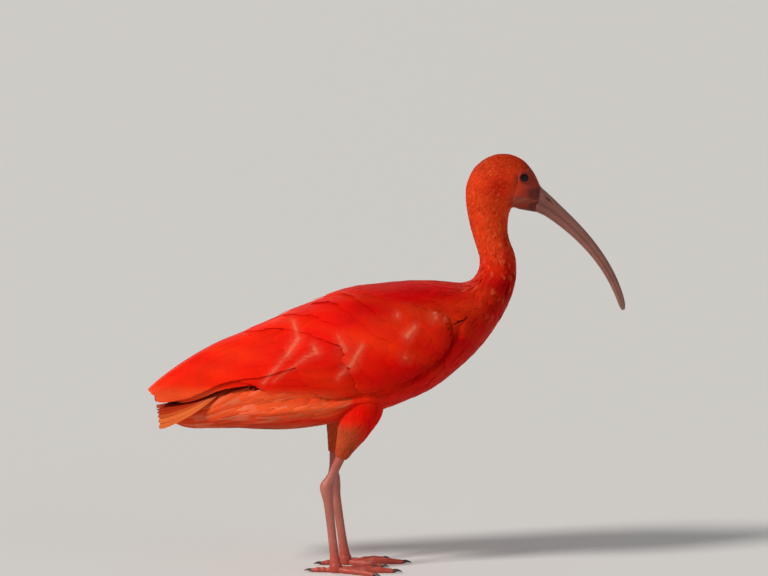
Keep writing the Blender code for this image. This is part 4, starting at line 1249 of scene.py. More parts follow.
def face_relief(points):
    """How far the skin of the face stands out from the plain outline, in metres."""
    x, z = points[..., 0], points[..., 2]
    ring = np.hypot(x - EYE_SPOT[0], z - EYE_SPOT[2])
    swells = sum(height * side_spot(points, *spot) for height, *spot in FACE_SWELLS)
    hollow = -0.0007 * np.exp(-(((ring - 0.0068) / 0.0022) ** 2)) * (z < 0.360)
    line = 0.3353 + 0.30 * (x - 0.1250)
    mouth = -0.0008 * np.exp(-(((z - line) / 0.0007) ** 2)) * ease((x - 0.1130) / 0.004)
    lip = 0.0004 * np.exp(-(((z - line - 0.0018) / 0.0010) ** 2)) * ease((x - 0.1130) / 0.004)
    return swells + hollow + mouth + lip


def skin_grid():
    """Rings of the skin from the tail's core to the bill, closer together on the head."""
    keys = BODY.keys
    lengths = [np.linspace(keys[a], keys[b], n, endpoint=False) for a, b, n in SKIN_RINGS]
    along = np.concatenate(lengths + [[keys[FACE]]])
    a, b = paired(along, turns(144, -math.pi))
    plain = BODY.place(a, b, 0.0)
    sideways = np.clip(np.abs(plain[..., 1]) / 0.008, 0, 1)
    relief = face_relief(plain) * sideways * ease((a - keys[THROAT] + 0.004) / 0.006)
    eye = np.linalg.norm(plain * (1, 0, 1) - EYE_SPOT * (1, 0, 1), axis=-1)
    pushed = SOCKET_DEPTH * (1 - ease((eye - SOCKET_RADIUS) / SOCKET_SLOPE)) * (np.abs(plain[..., 1]) > 0.006)
    bare = bare_face(plain)
    return Skin().place(a, b, relief - pushed + bare * coat_depth(a) * 0.9)


def make_skin(finish):
    """The one skin under the plumage, with the thighs grown into the body."""
    meshes = [tube_mesh("skin", skin_grid())]
    for name in SIDES:
        limb = thigh_limb(name)
        s, t = paired(np.linspace(0, 1, 40), turns(40))
        meshes.append(tube_mesh("thigh", limb.place(s, t, THIGH_SINK * (1 - s) + CUFF_SINK * s)))
    skin = joined("skin", meshes)
    points = corners_of(skin)
    keep_colours(skin, skin_tint(points))
    skin.shade_smooth()
    solids = ("head", "neck_upper", "neck_lower", "torso", "thigh_left", "thigh_right")
    return add_piece("skin", skin, finish, "plumage", *solids)


def leg_places(name):
    """A leg's hip, the cuff where its feathers end, its ankle and its toes' roots."""
    spot, y = LEG_PLACES[name], SIDES[name] * LEG_Y
    flat = (spot["hip"], HIP_Z), spot["cuff"], spot["ankle"], (spot["toes"], TOE_ROOT_Z)
    return [Vector((x, y, z)) for x, z in flat]


def thigh_limb(name):
    hip, cuff, _, _ = leg_places(name)
    rise, fore, aside = THIGH_TOP
    inside = [(hip + Vector((0, 0, rise)), fore, aside)]
    return Limb(inside + [(hip.lerp(cuff, t), fore, aside) for t, fore, aside in THIGH_ROWS])


def shin_limb(name):
    """The bare shank and the tarsus as one bent line, from under the feathers down to the toes."""
    hip, cuff, ankle, foot = leg_places(name)
    stations = [(hip.lerp(cuff, 0.90), 0.0044, 0.0038), (cuff, 0.0043, 0.0037)]
    stations += [(cuff.lerp(ankle, t), fore, aside) for t, fore, aside in SHANK_ROWS]
    stations += [(ankle.lerp(foot, t), fore, aside) for t, fore, aside in TARSUS_ROWS]
    return Limb(stations), foot


def body_feathers(first, last, vane, seed):
    """The small feathers from one section of the body to another."""
    rng = np.random.default_rng(seed)
    coat = Coat()
    low = np.array((BODY.keys[first], -math.pi))
    high = np.array((BODY.keys[last], math.pi))

    def spacing(key):
        return coat_sizes(key)[..., 0] * COARSE

    def keep(key, angle):
        under_top, inside, _ = wing_cover(key, angle)
        hidden = (under_top > 0.014) & (inside > 0.010)
        bare = bare_face(BODY.place(key, angle, 0.0)) > 0.45
        return ~hidden & ~(bare & (key > BODY.keys[THROAT]))

    root = scatter(coat, low, high, spacing, keep, rng)
    sizes = coat_sizes(root[:, 0])
    count = len(root)
    length = sizes[:, 1] * rng.normal(1, 0.10, count)
    loose = ease((0.170 - coat.place(root[:, 0], root[:, 1], 0.0)[:, 2]) / 0.012)
    loose = loose * ease((-0.035 - BODY.middle(root[:, 0])) / 0.03) * (root[:, 0] > BODY.keys[RUMP])
    length = length * (1 + 0.25 * loose)
    near_face = bare_face(BODY.place(root[:, 0] + 0.0015, root[:, 1], 0.0)) * (root[:, 0] > BODY.keys[THROAT])
    length = length * (1 - 0.4 * near_face)
    turn = rng.normal(0, 0.10, count) + 0.12 * np.sin(root[:, 0] * 90 + root[:, 1] * 5)
    tip = tips_from(coat, root, length, turn, -1, (0.0005, 0.01))
    tip[:, 0] = np.maximum(tip[:, 0], -0.02)
    depth = sizes[:, 3]
    wide = sizes[:, 2] / 2 * rng.normal(1, 0.08, count)
    tips = rng.normal(0.0, 0.00010, count) - 0.0001
    bend = rng.normal(0, 0.05, count) * length
    more = {"ragged": 0.06, "bend": bend, "settle": 2.3}
    group = Feathers(coat, vane, root, tip, wide, -depth - 0.0002, tips, rng, **more)
    return group, low, high


def flecked(group, tints, colour, share, strength, seed):
    """Tints with a share of the feathers paler, each by a strength of its own."""
    rng = np.random.default_rng(seed)
    paler = (rng.random(group.count) < share) * rng.uniform(0.3, 1.0, group.count) * strength
    by_place = ease(group.vane.along / 0.6)
    return blend(tints, colour, paler[:, None, None] * by_place[None, :, None] + 0 * tints[..., 0])


def make_body_coat(finish, small_finish):
    """The coat in pieces, each from one section to another, with its vane, seed and share of flecks."""
    parts = (
        ("coat_rump", 0, BELLY, BODY_TUFT, 11, 0.0, finish),
        ("coat_breast", BELLY, BREAST_END, BODY_TUFT, 12, 0.0, finish),
        ("coat_neck_root", BREAST_END, NECK_START, NECK_TUFT, 13, 0.10, finish),
        ("coat_neck", NECK_START, THROAT, NECK_TUFT, 14, 0.20, small_finish),
        ("coat_nape", THROAT, NAPE_END, TUFT, 15, 0.16, small_finish),
        ("coat_head", NAPE_END, FACE, TUFT, 16, 0.03, small_finish),
    )
    for name, first, last, vane, seed, flecks, made in parts:
        group, low, high = body_feathers(first, last, vane, seed)
        tints = group.tints(plumage_tint, 0.84, 0.06, 0.06)
        tints = flecked(group, tints, FLECK_ORANGE, flecks, FLECK_STRENGTH, seed)
        feather_piece(name, [group], [tints], [patch_uv(group, low, high)], made, "plumage")


def flank_plumes(side, rng):
    """Long loose plumes that hang from under the wing back over the root of the tail."""
    coat = Coat()
    low, high = np.array((BODY.keys[RUMP] - 0.030, 0.0)), np.array((BODY.keys[SHOULDER], math.pi))

    def spacing(key):
        return PLUME_SPACING * COARSE + 0 * key

    def keep(key, angle):
        x = BODY.middle(key)
        _, low_edge, _ = wing_edges(x)
        radius = smooth(BODY.keys, BODY.rows, key)[..., 4]
        below = (angle - low_edge) * radius
        return (below > -0.014) & (below < 0.020 - 0.10 * (x + 0.09)) & (x < -0.020)

    root = scatter(coat, low, high, spacing, keep, rng)
    count = len(root)
    length = PLUME_LENGTH * rng.normal(1, 0.12, count)
    turn = rng.normal(-0.06, 0.08, count)
    tip = tips_from(coat, root, length, turn, -1, (0.0005, 0.01))
    root[:, 1] *= side
    tip[:, 1] *= side
    wide = PLUME_HALF * rng.normal(1, 0.12, count)
    bend = rng.normal(0, 0.07, count) * length
    tips = rng.uniform(0.0001, 0.0008, count) + 0.0010 * ease((-0.10 - BODY.middle(root[:, 0])) / 0.03)
    more = {"ragged": 0.06, "bend": bend, "settle": 2.2}
    return Feathers(coat, PLUME, root, tip, wide, -0.0010, tips, rng, **more), low, high


def plume_tint(points):
    return blend(plumage_tint(points), FLANK_SALMON, 0.55 + 0.25 * ripple(points * (0.3, 1, 1.2), 0.006, 9))


def make_flank(name, finish, seed):
    rng = np.random.default_rng(seed)
    group, low, high = flank_plumes(SIDES[name], rng)
    tints = flecked(group, group.tints(plume_tint, 0.80, 0.16, 0.07), PALE_FRINGE, 0.35, 0.60, seed)
    maps = patch_uv(group, (low[0], -math.pi), high)
    feather_piece(f"flank_plumes_{name}", [group], [tints], [maps], finish, "plumage")


def make_thigh_coat(name, finish, seed):
    rng = np.random.default_rng(seed)
    limb = thigh_limb(name)
    low, high = np.array((0.10, -math.pi)), np.array((0.985, math.pi))

    def spacing(share):
        return (0.0036 - 0.0017 * ease(share)) * COARSE

    def keep(share, angle):
        point = limb.place(share, angle, 0.0)
        key = BODY.key_at_x(point[..., 0])
        belly = BODY.place(key, math.pi + 0 * key, 0.0)
        return point[..., 2] < belly[..., 2] + 0.030

    root = scatter(limb, low, high, spacing, keep, rng)
    count = len(root)
    fine = ease(root[:, 0])
    length = (0.0190 - 0.0100 * fine) * rng.normal(1, 0.1, count)
    turn = rng.normal(0, 0.10, count)
    tip = tips_from(limb, root, length, turn, 1, (0.005, 0.01))
    tip[:, 0] = np.minimum(tip[:, 0], 1.06)
    wide = (0.0036 - 0.0020 * fine) * rng.normal(1, 0.08, count)
    tips = rng.normal(0.0001, 0.00010, count)
    more = {"ragged": 0.06, "bend": rng.normal(0, 0.05, count) * length, "settle": 2.2}
    group = Feathers(limb, BODY_TUFT, root, tip, wide, -0.0013, tips, rng, **more)
    tints = group.tints(plumage_tint, 0.82, 0.06, 0.06)
    feather_piece(f"coat_thigh_{name}", [group], [tints], [patch_uv(group, low, high)], finish, "plumage")


def wing_pad_mesh(side):
    """The closed pad of down that the wing's feathers grow from."""
    wing = Wing(side)
    x, share = paired(np.linspace(PAD_ROWS[0, 0], PAD_ROWS[-1, 0], 90), np.linspace(0.02, 0.98, 40))
    rim = wing_crown(np.minimum(x, WING_FRONT - 0.0004), share)
    crown = (1 - (2 * share - 1) ** 4) ** 0.5 * between(1.0, rim, ease((x + 0.02) / 0.03))
    thick = by_column(PAD_ROWS, x)[..., 0]
    top = wing.place(x, share, np.maximum(thick * crown, 0.0005))
    bottom = wing.place(x, share, 0.0 * x)
    grid = np.concatenate([top, bottom[:, ::-1]], axis=1)
    return tube_mesh("pad", grid)


def lay_out(row, stray, rng):
    """Roots, tips, half widths, and the heights of roots and tips, for a row of a wing's feathers."""
    count, (root_a, root_b), (tip_a, tip_b), half, (low, high_a, high_b) = row
    t = np.linspace(0, 1, count)
    root = blend(np.array(root_a), np.array(root_b), t)
    tip = blend(np.array(tip_a), np.array(tip_b), t)
    tip[:, 0] += rng.normal(0, stray[0], count)
    tip[:, 1] += rng.normal(0, stray[1], count)
    wide = half * rng.normal(1, stray[2], count)
    return root, tip, wide, low, between(high_a, high_b, t)


def tier_feathers(side, name, rng):
    """The feathers of one tier of a wing."""
    vane, rise = (QUILL, 0.0009) if name in FLIGHT_TIERS else (COVERT, 0.0005)
    root, tip, wide, low, high = lay_out(TIERS[name], TIER_STRAY, rng)
    more = {"rise": rise, "ragged": 0.02, "bend": -0.05 * (root[:, 0] - tip[:, 0])}
    return Feathers(Wing(side), vane, root, tip, wide, low, high, rng, **more)


def small_coverts(side, rng):
    """Small feathers over the front of the wing, smallest along its rounded edge."""
    wing = Wing(side)
    low, high = np.array((-0.014, 0.01)), np.array((0.0597, 0.995))

    def spacing(x):
        return (0.0050 - 0.0022 * ease((x - 0.010) / 0.045)) * COARSE**0.5

    def keep(x, share):
        return x > -0.012 + 0.012 * share

    root = scatter(wing, low, high, spacing, keep, rng)
    count = len(root)
    small = ease((root[:, 0] - 0.005) / 0.050)
    length = (0.0240 - 0.0120 * small) * rng.normal(1, 0.06, count)
    turn = 0.10 + rng.normal(0, 0.05, count)
    tip = tips_from(wing, root, length, turn, -1, (0.0005, 0.005))
    wide = (0.0064 - 0.0030 * small) * rng.normal(1, 0.05, count)
    roots = (wing_swell(root[:, 0]) - 0.0008) * wing_crown(root[:, 0], root[:, 1]) - 0.0003
    tips = wing_swell(tip[:, 0]) * wing_crown(tip[:, 0], tip[:, 1]) + rng.normal(0, 0.00005, count)
    more = {"rise": 0.0001, "ragged": 0.03, "bend": rng.normal(0, 0.02, count) * length, "settle": 2.0}
    return Feathers(wing, COVERT_SMALL, root, tip, wide, roots, tips, rng, **more)


def wing_swell(x):
    """How high the wing's feathers stand over its bed, most at the bent wrist in front."""
    return 0.0070 + 0.0026 * ease((x + 0.012) / 0.045)


def wing_crown(x, share):
    """The wing's rounded rim: 1 over most of it, and 0 at its front, lower and shoulder edges."""
    top, low, _ = wing_edges(x)
    radius = smooth(MANTLE.keys, MANTLE.rows, MANTLE.key_at_x(x))[..., 4]
    arc = (low - top) * radius
    above_low = (1 - share) * arc
    under_top = share * arc + 0.030 * (1 - ease((x - 0.016) / 0.016))
    inside = np.minimum(np.minimum(above_low, under_top), WING_FRONT - x)
    return np.sqrt(np.maximum(1 - (1 - np.clip(inside / RIM_RADIUS, 0, 1)) ** 2, 0))


def scapulars(side, rng):
    """Long soft feathers from the shoulder that lie over the wing's upper part."""
    groups = []
    for row in SCAPULAR_ROWS:
        root, tip, wide, low, high = lay_out(row, SCAPULAR_STRAY, rng)
        more = {"rise": 0.0004, "ragged": 0.03, "bend": rng.normal(0, 0.002, len(root)), "settle": 1.6}
        groups.append(Feathers(Wing(side), COVERT, root, tip, wide, low, high, rng, **more))
    return groups


def worn_and_lit_tints(group, root_shade, edge_tone, spread):
    """Tints with the wing's pale places, worn and painted highlight, which show most at the feathers' edges.
    """
    colour = group.tints(plumage_tint, root_shade, edge_tone, spread)
    vane = group.vane
    edge = np.maximum(np.abs(vane.across)[None, :] ** 2, vane.along[:, None] ** 3)
    # worn holds both wear and painted highlight.
    worn = worn_and_lit_places(group.points) * (0.45 + 0.55 * edge)[None]
    return blend(colour, PALE_FRINGE, np.clip(worn, 0, 1))


def wing_layer(name, groups, tones, columns, dark_tipped, finish, slot):
    """One mesh of a wing's feathers; so many of the groups, from the first, have black tips."""
    total = sum(group.count for group in groups)
    start, tints, maps = 0, [], []
    for number, group in enumerate(groups):
        colour = worn_and_lit_tints(group, *tones)
        if number < dark_tipped:
            dark = ease((group.vane.along - 0.84) / 0.07)[None, :, None]
            colour = blend(colour, BLACK_TIP, np.broadcast_to(dark, colour.shape[:-1]))
        tints.append(colour)
        group.cells = np.arange(start, start + group.count)
        maps.append(flat_uv(group, columns or total, total))
        start += group.count
    feather_piece(name, groups, tints, maps, finish, slot)


def make_wing(name, finish, flight_finish, down_finish, seed):
    side = SIDES[name]
    rng = np.random.default_rng(seed)
    pad = wing_pad_mesh(side)
    keep_colours(pad, plumage_tint(corners_of(pad)) * 0.7)
    pad.shade_smooth()
    add_piece(f"wing_pad_{name}", pad, down_finish, "plumage", f"wing_{name}")
    quills = [tier_feathers(side, tier, rng) for tier in FLIGHT_TIERS]
    flight = f"flight_feathers_{name}"
    wing_layer(flight, quills, FLIGHT_TONES, None, 1, flight_finish, "flight_feathers")
    groups = [tier_feathers(side, tier, rng) for tier in COVERT_TIERS]
    groups += scapulars(side, rng) + [small_coverts(side, rng)]
    columns = math.ceil(math.sqrt(sum(group.count for group in groups)) * 1.6)
    wing_layer(f"coverts_{name}", groups, COVERT_TONES, columns, 0, finish, "plumage")


def tail_tint(points):
    return blend(plumage_tint(points), TAIL_ORANGE, 0.85 + 0 * points[..., 0])


def make_tail(finish):
    """The tail's fan, orange at both sides, and red within, darkened there with painted shade."""
    rng = np.random.default_rng(41)
    rank = np.arange(TAIL_FEATHERS) - (TAIL_FEATHERS - 1) / 2
    root = np.column_stack([np.full(TAIL_FEATHERS, TAIL_ROOT_X), rank * TAIL_ROOT_SPREAD])
    tip = np.column_stack([TAIL_TIP_X + TAIL_STEP * np.abs(rank), rank * TAIL_SPREAD])
    groups, tints, maps = [], [], []
    for left in (False, True):
        picked = (rank > 0) if left else (rank < 0)
        numbers = np.flatnonzero(picked)
        start = 0.0 if left else TAIL_OVERLAP
        rise = TAIL_OVERLAP if left else -TAIL_OVERLAP
        lift = np.where(rank[picked] == 0.5, 0.0010, 0.0)
        more = {"rise": rise, "ragged": 0.008}
        ends = root[picked], tip[picked]
        group = Feathers(TailTop(), TAIL_QUILL, *ends, TAIL_HALF_WIDTH, start, start + lift, rng, **more)
        group.cells = numbers
        groups.append(group)
        outer = ease((np.abs(rank[picked]) - 2.9) / 1.2)[:, None, None]
        colour = group.tints(tail_tint, 0.85, 0.10, 0.05)
        # The inner feathers are darkened with painted shade.
        tints.append(blend(colour, TAIL_SHADE, 0.85 * (1 - outer) + 0 * colour[..., 0]))
        maps.append(flat_uv(group, TAIL_FEATHERS, TAIL_FEATHERS))
    feather_piece("tail_feathers", groups, tints, maps, finish, "flight_feathers", "tail")


def bill_line(shares):
    """Points along the bill's centre line and the directions out of its top there."""
    last = BODY_ROWS[-1]
    back, belly = np.array((last[0], 0, last[1])), np.array((last[2], 0, last[3]))
    base_up = unit(back - belly)
    steps = np.linspace(0, 1, 400, endpoint=False)
    turn = BILL_START + BILL_TURN * steps**BILL_TURN_POWER
    moves = np.stack([np.cos(turn), 0 * turn, np.sin(turn)], axis=-1) * BILL_LENGTH / 400
    line = (back + belly) / 2 + np.concatenate([np.zeros((1, 3)), np.cumsum(moves, axis=0)])
    marks = np.linspace(0, 1, 401)
    centre = np.stack([np.interp(shares, marks, line[:, k]) for k in range(3)], axis=-1)
    turn = BILL_START + BILL_TURN * np.clip(shares, 0, 1) ** BILL_TURN_POWER
    square = np.stack([-np.sin(turn), 0 * turn, np.cos(turn)], axis=-1)
    up = unit(blend(np.broadcast_to(base_up, square.shape), square, ease(shares / 0.12)))
    return centre, up


def make_bill(upper, finish):
    """Half of the bill, with the long groove and the nostril in its side and a blunt cutting edge."""
    shares = np.concatenate([np.linspace(-0.012, 0.2, 90, endpoint=False), np.linspace(0.2, 1.0, 170)])
    shares = np.append(shares, 1.004)
    centre, up = bill_line(np.clip(shares, 0, 1))
    base, _ = bill_line(np.array((0.0, 0.01)))
    back_step = (base[0] - base[1]) / 0.01
    centre = centre + back_step * np.clip(-shares, 0, 1)[:, None]
    row = by_column(BILL_ROWS, np.clip(shares, 0, 1))
    depth, half, top_share = row[:, 0], row[:, 1], row[:, 2]
    closing = np.where(shares > 1, 0.45, 1.0)
    depth, half = depth * closing, half * closing
    mouth = centre + up * (depth / 2 - depth * top_share)[:, None]
    tall = depth * (top_share if upper else 1 - top_share)
    out = up if upper else -up
    angle = np.linspace(0, math.pi, 41)
    across = np.cos(angle)
    rise = np.sin(angle) ** 0.9
    s = shares[:, None]
    side = np.abs(across)[None, :]
    groove_at = 0.80 - 0.06 * s
    groove = np.exp(-(((side - groove_at) / 0.055) ** 2)) * ease((s - 0.03) / 0.05) * ease((0.93 - s) / 0.2)
    nostril = np.exp(-(((s - 0.062) / 0.026) ** 2) - ((side - 0.74) / 0.10) ** 2)
    sink = (0.00035 * groove + 0.0010 * nostril) if upper else 0.00012 * groove
    ribs = 0.00006 * np.sin(s * 420 + 3 * np.sin(side * 4)) * ease((0.16 - s) / 0.1)
    size = 1 - (sink - ribs) / np.maximum(half, 0.001)[:, None]
    y = half[:, None] * across[None, :] * size
    z = MOUTH_GAP / 2 + (tall - MOUTH_GAP / 2)[:, None] * rise[None, :] * (1 - 0.4 * (1 - size))
    rounded = np.exp(-((angle / 0.25) ** 2)) + np.exp(-(((math.pi - angle) / 0.25) ** 2))
    y = y * (1 - 0.04 * rounded[None, :])
    grid = mouth[:, None, :] + out[:, None, :] * z[..., None] + np.array((0.0, 1.0, 0.0)) * y[..., None]
    name = "upper" if upper else "lower"
    mesh = tube_mesh("horn", grid)
    tint = bill_tint(s + 0 * side, rise[None, :] + 0 * s, groove, nostril, upper, grid)
    keep_colours(mesh, tint.reshape(-1, 3))
    mesh.shade_smooth()
    mesh.set_sharp_from_angle(angle=math.radians(50))
    add_piece(f"horn_{name}", mesh, finish, "bill", f"bill_{name}")


def bill_tint(share, rise, groove, nostril, upper, points):
    tint = blend(BILL_BASE, BILL_MIDDLE, ease(share / 0.35))
    tint = blend(tint, BILL_TIP, ease((share - 0.75) / 0.25))
    if upper:
        # Painted highlight along the ridge.
        tint = blend(tint, BILL_RIDGE_HIGHLIGHT, 0.7 * ease((rise - 0.80) / 0.2))
        # Painted shade in the groove and the nostril.
        tint = blend(tint, BILL_GROOVE_SHADE, 0.45 * groove)
        tint = blend(tint, BILL_GROOVE_SHADE * 0.3, np.clip(1.2 * nostril, 0, 1) ** 2)
    # Painted shade along the line where the two halves meet.
    edge = np.exp(-((rise / 0.22) ** 2))
    tint = blend(tint, BILL_GROOVE_SHADE, 0.55 * edge)
    streak = 1 + 0.10 * ripple(points * (0.5, 3, 1), 0.004, 21) + 0.06 * ripple(points, 0.0012, 22)
    return tint * streak[..., None]


def turned_to(axis):
    """Two directions square to an axis: the one nearer ahead, and the one nearer up."""
    ahead = unit(np.cross((0.0, 0.0, 1.0), axis))
    return ahead, unit(np.cross(axis, ahead))


def sided(vector, side):
    return vector * np.array((1.0, side, 1.0))


def make_eye(name, finish, lid_finish):
    """The eyeball with its clear bulge, and the lids round its opening."""
    side = SIDES[name]
    axis, spot = sided(EYE_AXIS, side), sided(EYE_SPOT, side)
    centre = spot - axis * EYE_SINK
    ahead, above = turned_to(axis)
    p, a = paired(np.linspace(0.02, math.pi - 0.02, 60), turns(48))
    bulge = EYE_RADIUS * (0.985 + 0.030 * np.exp(-((p / 0.45) ** 2)))
    round_out = ahead * np.cos(a)[..., None] + above * np.sin(a)[..., None]
    grid = centre + (axis * np.cos(p)[..., None] + round_out * np.sin(p)[..., None]) * bulge[..., None]
    ball = tube_mesh("eye", grid)
    fleck = 1 + 0.35 * np.sin(a * 40) * np.sin(a * 7 + 1)
    tint = blend(PUPIL, IRIS, ease((p - 0.34) / 0.05)) * between(1.0, fleck, 0.6)[..., None]
    tint = blend(tint, IRIS * 0.3, ease((p - 0.72) / 0.05))
    keep_colours(ball, tint.reshape(-1, 3))
    ball.shade_smooth()
    add_piece(f"eyeball_{name}", ball, finish, "eye", f"eye_{name}")
    make_lids(name, spot, axis, ahead, above, lid_finish)


def make_lids(name, spot, axis, ahead, above, finish):
    """A wrinkled rim of skin, a little longer than high, that hugs the eyeball."""
    t, r = paired(turns(120), turns(16))
    wrinkle = 0.00007 * np.sin(t * 23) + 0.00005 * np.sin(t * 41 + 2)
    reach = LID_RADIUS * (1.0 + 0.05 * np.cos(2 * t)) + LID_WIDTH * np.cos(r)
    height = (0.00060 + wrinkle) * np.sin(r) + 0.00015 * np.sin(t)
    flat = ahead * np.cos(t)[..., None] + above * np.sin(t)[..., None]
    grid = spot + flat * reach[..., None] + axis * (height - 0.0002)[..., None]
    rings, sides = grid.shape[:2]
    i, j = np.arange(rings)[:, None], np.arange(sides)[None, :]
    k, m = (i + 1) % rings, (j + 1) % sides
    quads = np.stack([i * sides + j, i * sides + m, k * sides + m, k * sides + j], axis=-1)
    mesh = outward(mesh_from("lids", grid.reshape(-1, 3), quads.ravel(), np.full(rings * sides, 4)))
    inner = ease((np.cos(r) * -1 + 0.2) / 0.8)
    tint = blend(blend(FACE_SKIN, NECK_SCARLET, 0.10) * 0.8, FACE_SKIN * 0.25, inner)
    keep_colours(mesh, tint.reshape(-1, 3))
    mesh.shade_smooth()
    add_piece(f"lids_{name}", mesh, finish, "bill")


def scutes(along, angle, pitch, wrap, deep):
    """The relief of wide plates down the front of a leg or toe, and small scales round the rest."""
    row = along / pitch
    front = ease((wrap - np.abs(angle)) / 0.25)
    plate = (1 - np.abs(2 * (row % 1) - 1) ** 6) * deep
    fine = along / (pitch * 0.42)
    stagger = angle * 4.5 + math.pi * (np.floor(fine) % 2)
    small = np.abs(np.sin(math.pi * fine)) ** 0.5 * (0.55 + 0.45 * np.abs(np.cos(stagger))) * deep * 0.55
    return front * plate + (1 - front) * small


def shin_tint(points):
    z = points[..., 2]
    tint = blend(SHIN_RED, SHIN, ease((z - 0.006) / 0.03))
    tint = blend(tint, SHIN_RED, 0.6 * ease((z - 0.085) / 0.02))
    return tint * (1 + 0.10 * ripple(points, 0.0035, 31) + 0.07 * ripple(points, 0.0011, 32))[..., None]


def toe_ahead(side, name):
    """The way that a toe points."""
    angle = math.radians(TOES[name][0]) * -side
    return np.array((math.cos(angle), math.sin(angle), 0.0))


def run_out(foot, ahead, reach, aside, height):
    """Points so far out from the foot along a toe, to its side and over the floor, none below it."""
    across = np.array((-ahead[1], ahead[0], 0.0))
    start, up = np.array((foot[0], foot[1], 0.0)), np.array((0.0, 0.0, 1.0))
    grid = start + ahead * reach[..., None] + across * aside[..., None] + up * height[..., None]
    grid[..., 2] = np.maximum(grid[..., 2], 0.0)
    return grid


def make_toe(foot, side, name):
    """One toe with its joints, pads and plates, flat where it rests on the floor."""
    _, length, _, girth = TOES[name]
    shares = np.linspace(0, 1, 90)
    radius = girth * by_column(TOE_SWELLS, shares)[:, 0]
    joints = 0.00022 * np.cos(shares * 2 * math.pi * 4)
    s, a = paired(shares, turns(28))
    top = np.abs((a - math.pi / 2 + math.pi) % (2 * math.pi) - math.pi)
    relief = scutes(s * length, top, *TOE_SCUTES) * ease((1 - s) / 0.05)
    size = (radius + joints - 0.0001)[:, None] + relief
    centre_z = radius * 0.90
    height = centre_z[:, None] + size * np.sin(a)
    grid = run_out(foot, toe_ahead(side, name), s * length, size * np.cos(a), height)
    return tube_mesh(f"toe_{name}", grid)


def make_web(foot, side, name):
    """The small web between two front toes, hollow along its front edge."""
    length = TOES[name][1]
    ahead, start = toe_ahead(side, name), np.array(foot)
    r, t = paired(np.linspace(0.02, 1.0, 14), np.linspace(0, 1, 12))
    edge = ahead * length * WEB_REACH
    middle = toe_ahead(side, "middle") * TOES["middle"][1] * WEB_REACH * 0.80
    hollow = 1 - 0.55 * np.sin(math.pi * t) * r
    flat = (edge * (1 - t)[..., None] + middle * t[..., None]) * (r * hollow)[..., None]
    flat = flat + start * (1, 1, 0)
    top = flat + np.array((0, 0, 1.0)) * (0.0030 - 0.0009 * np.sin(math.pi * t))[..., None]
    low = flat + np.array((0, 0, 1.0)) * (0.0016 + 0 * t)[..., None]
    return tube_mesh("web", np.concatenate([top, low[:, ::-1]], axis=1))


def make_leg(name, finish, claw_finish):
    """The bare part of a leg with its foot in one skin, and the claws set into it."""
    side = SIDES[name]
    limb, foot = shin_limb(name)
    s, a = paired(np.linspace(0, 1, 330), turns(40, -math.pi))
    relief = scutes(s * limb.length, a, *SHIN_SCUTES) * ease((s - 0.10) / 0.05)
    meshes = [tube_mesh("shin", limb.place(s, a, relief - 0.0001))]
    sole = Limb([(foot + Vector((0, 0, rise)), fore, aside) for rise, fore, aside in SOLE_ROWS])
    s, a = paired(np.linspace(0, 1, 14), turns(40, -math.pi))
    grid = sole.place(s, a, 0.0)
    grid[..., 2] = np.maximum(grid[..., 2], 0.0)
    meshes.append(tube_mesh("sole", grid))
    meshes += [make_toe(foot, side, toe) for toe in TOES]
    meshes += [make_web(foot, side, toe) for toe in ("inner", "outer")]
    leg = joined(f"leg_{name}", meshes)
    keep_colours(leg, shin_tint(corners_of(leg)))
    leg.shade_smooth()
    add_piece(f"leg_{name}", leg, finish, "leg_skin", f"shank_{name}", f"tarsus_{name}", f"foot_{name}")
    for toe in TOES:
        make_claw(name, foot, toe, claw_finish)


def make_claw(name, foot, toe, finish):
    """A blunt curved claw, ridged along its top."""
    side = SIDES[name]
    _, length, claw, girth = TOES[toe]
    thick = girth * 0.62
    s, a = paired(np.linspace(0, 1, 22), turns(16))
    size = thick * 0.84 * (1 - s) ** 0.75 + 0.00022
    base_z = thick * 0.90
    arch = 0.0008 * np.sin(math.pi * s)
    height = base_z + arch - (base_z - 0.0012) * s**1.5
    ridge = 1 + 0.16 * np.exp(-(((a - math.pi / 2) / 0.5) ** 2))
    reach, aside = length - 0.0004 + claw * s, size * 0.85 * np.cos(a)
    height = height + size * ridge * np.sin(a)
    mesh = tube_mesh("claw", run_out(foot, toe_ahead(side, toe), reach, aside, height))
    tint = blend(CLAW_DARK * 1.8, CLAW_DARK, ease(s / 0.3))
    keep_colours(mesh, tint.reshape(-1, 3))
    mesh.shade_smooth()
    add_piece(f"nail_{name}_{toe}", mesh, finish, "claw", f"claw_{name}_{toe}")


def skin_finish(name, cell_scale, depth, roughness, **constants):
    """Bare skin: fine pores and creases over an uneven colour."""
    finish = Finish(name, **constants)
    pores = finish.cells(cell_scale)
    folds = finish.noise(cell_scale * 0.6, 3.0)
    patches = finish.noise(260.0)
    shade = 0.78 + folds * 0.22 + patches * 0.22
    finish.feed("Base Color", finish.shaded(finish.tint(), shade))
    finish.feed("Roughness", roughness - 0.08 + folds * 0.16)
    finish.bump(folds * 0.7 + pores * 0.6, depth)
    return finish.material


def horn_finish(name):
    """Bill and claws: smooth horn with fine growth lines and faint wear."""
    finish = Finish(name, Specular_IOR_Level=0.5, Coat_Weight=0.15, Coat_Roughness=0.25)
    lines = finish.noise(700.0, 2.0)
    wear = finish.noise(120.0, 3.0)
    finish.feed("Base Color", finish.shaded(finish.tint(), 0.82 + lines * 0.16 + wear * 0.20))
    finish.feed("Roughness", 0.30 + wear * 0.20)
    finish.bump(lines * 0.6 + wear * 0.4, 0.00012)
    return finish.material


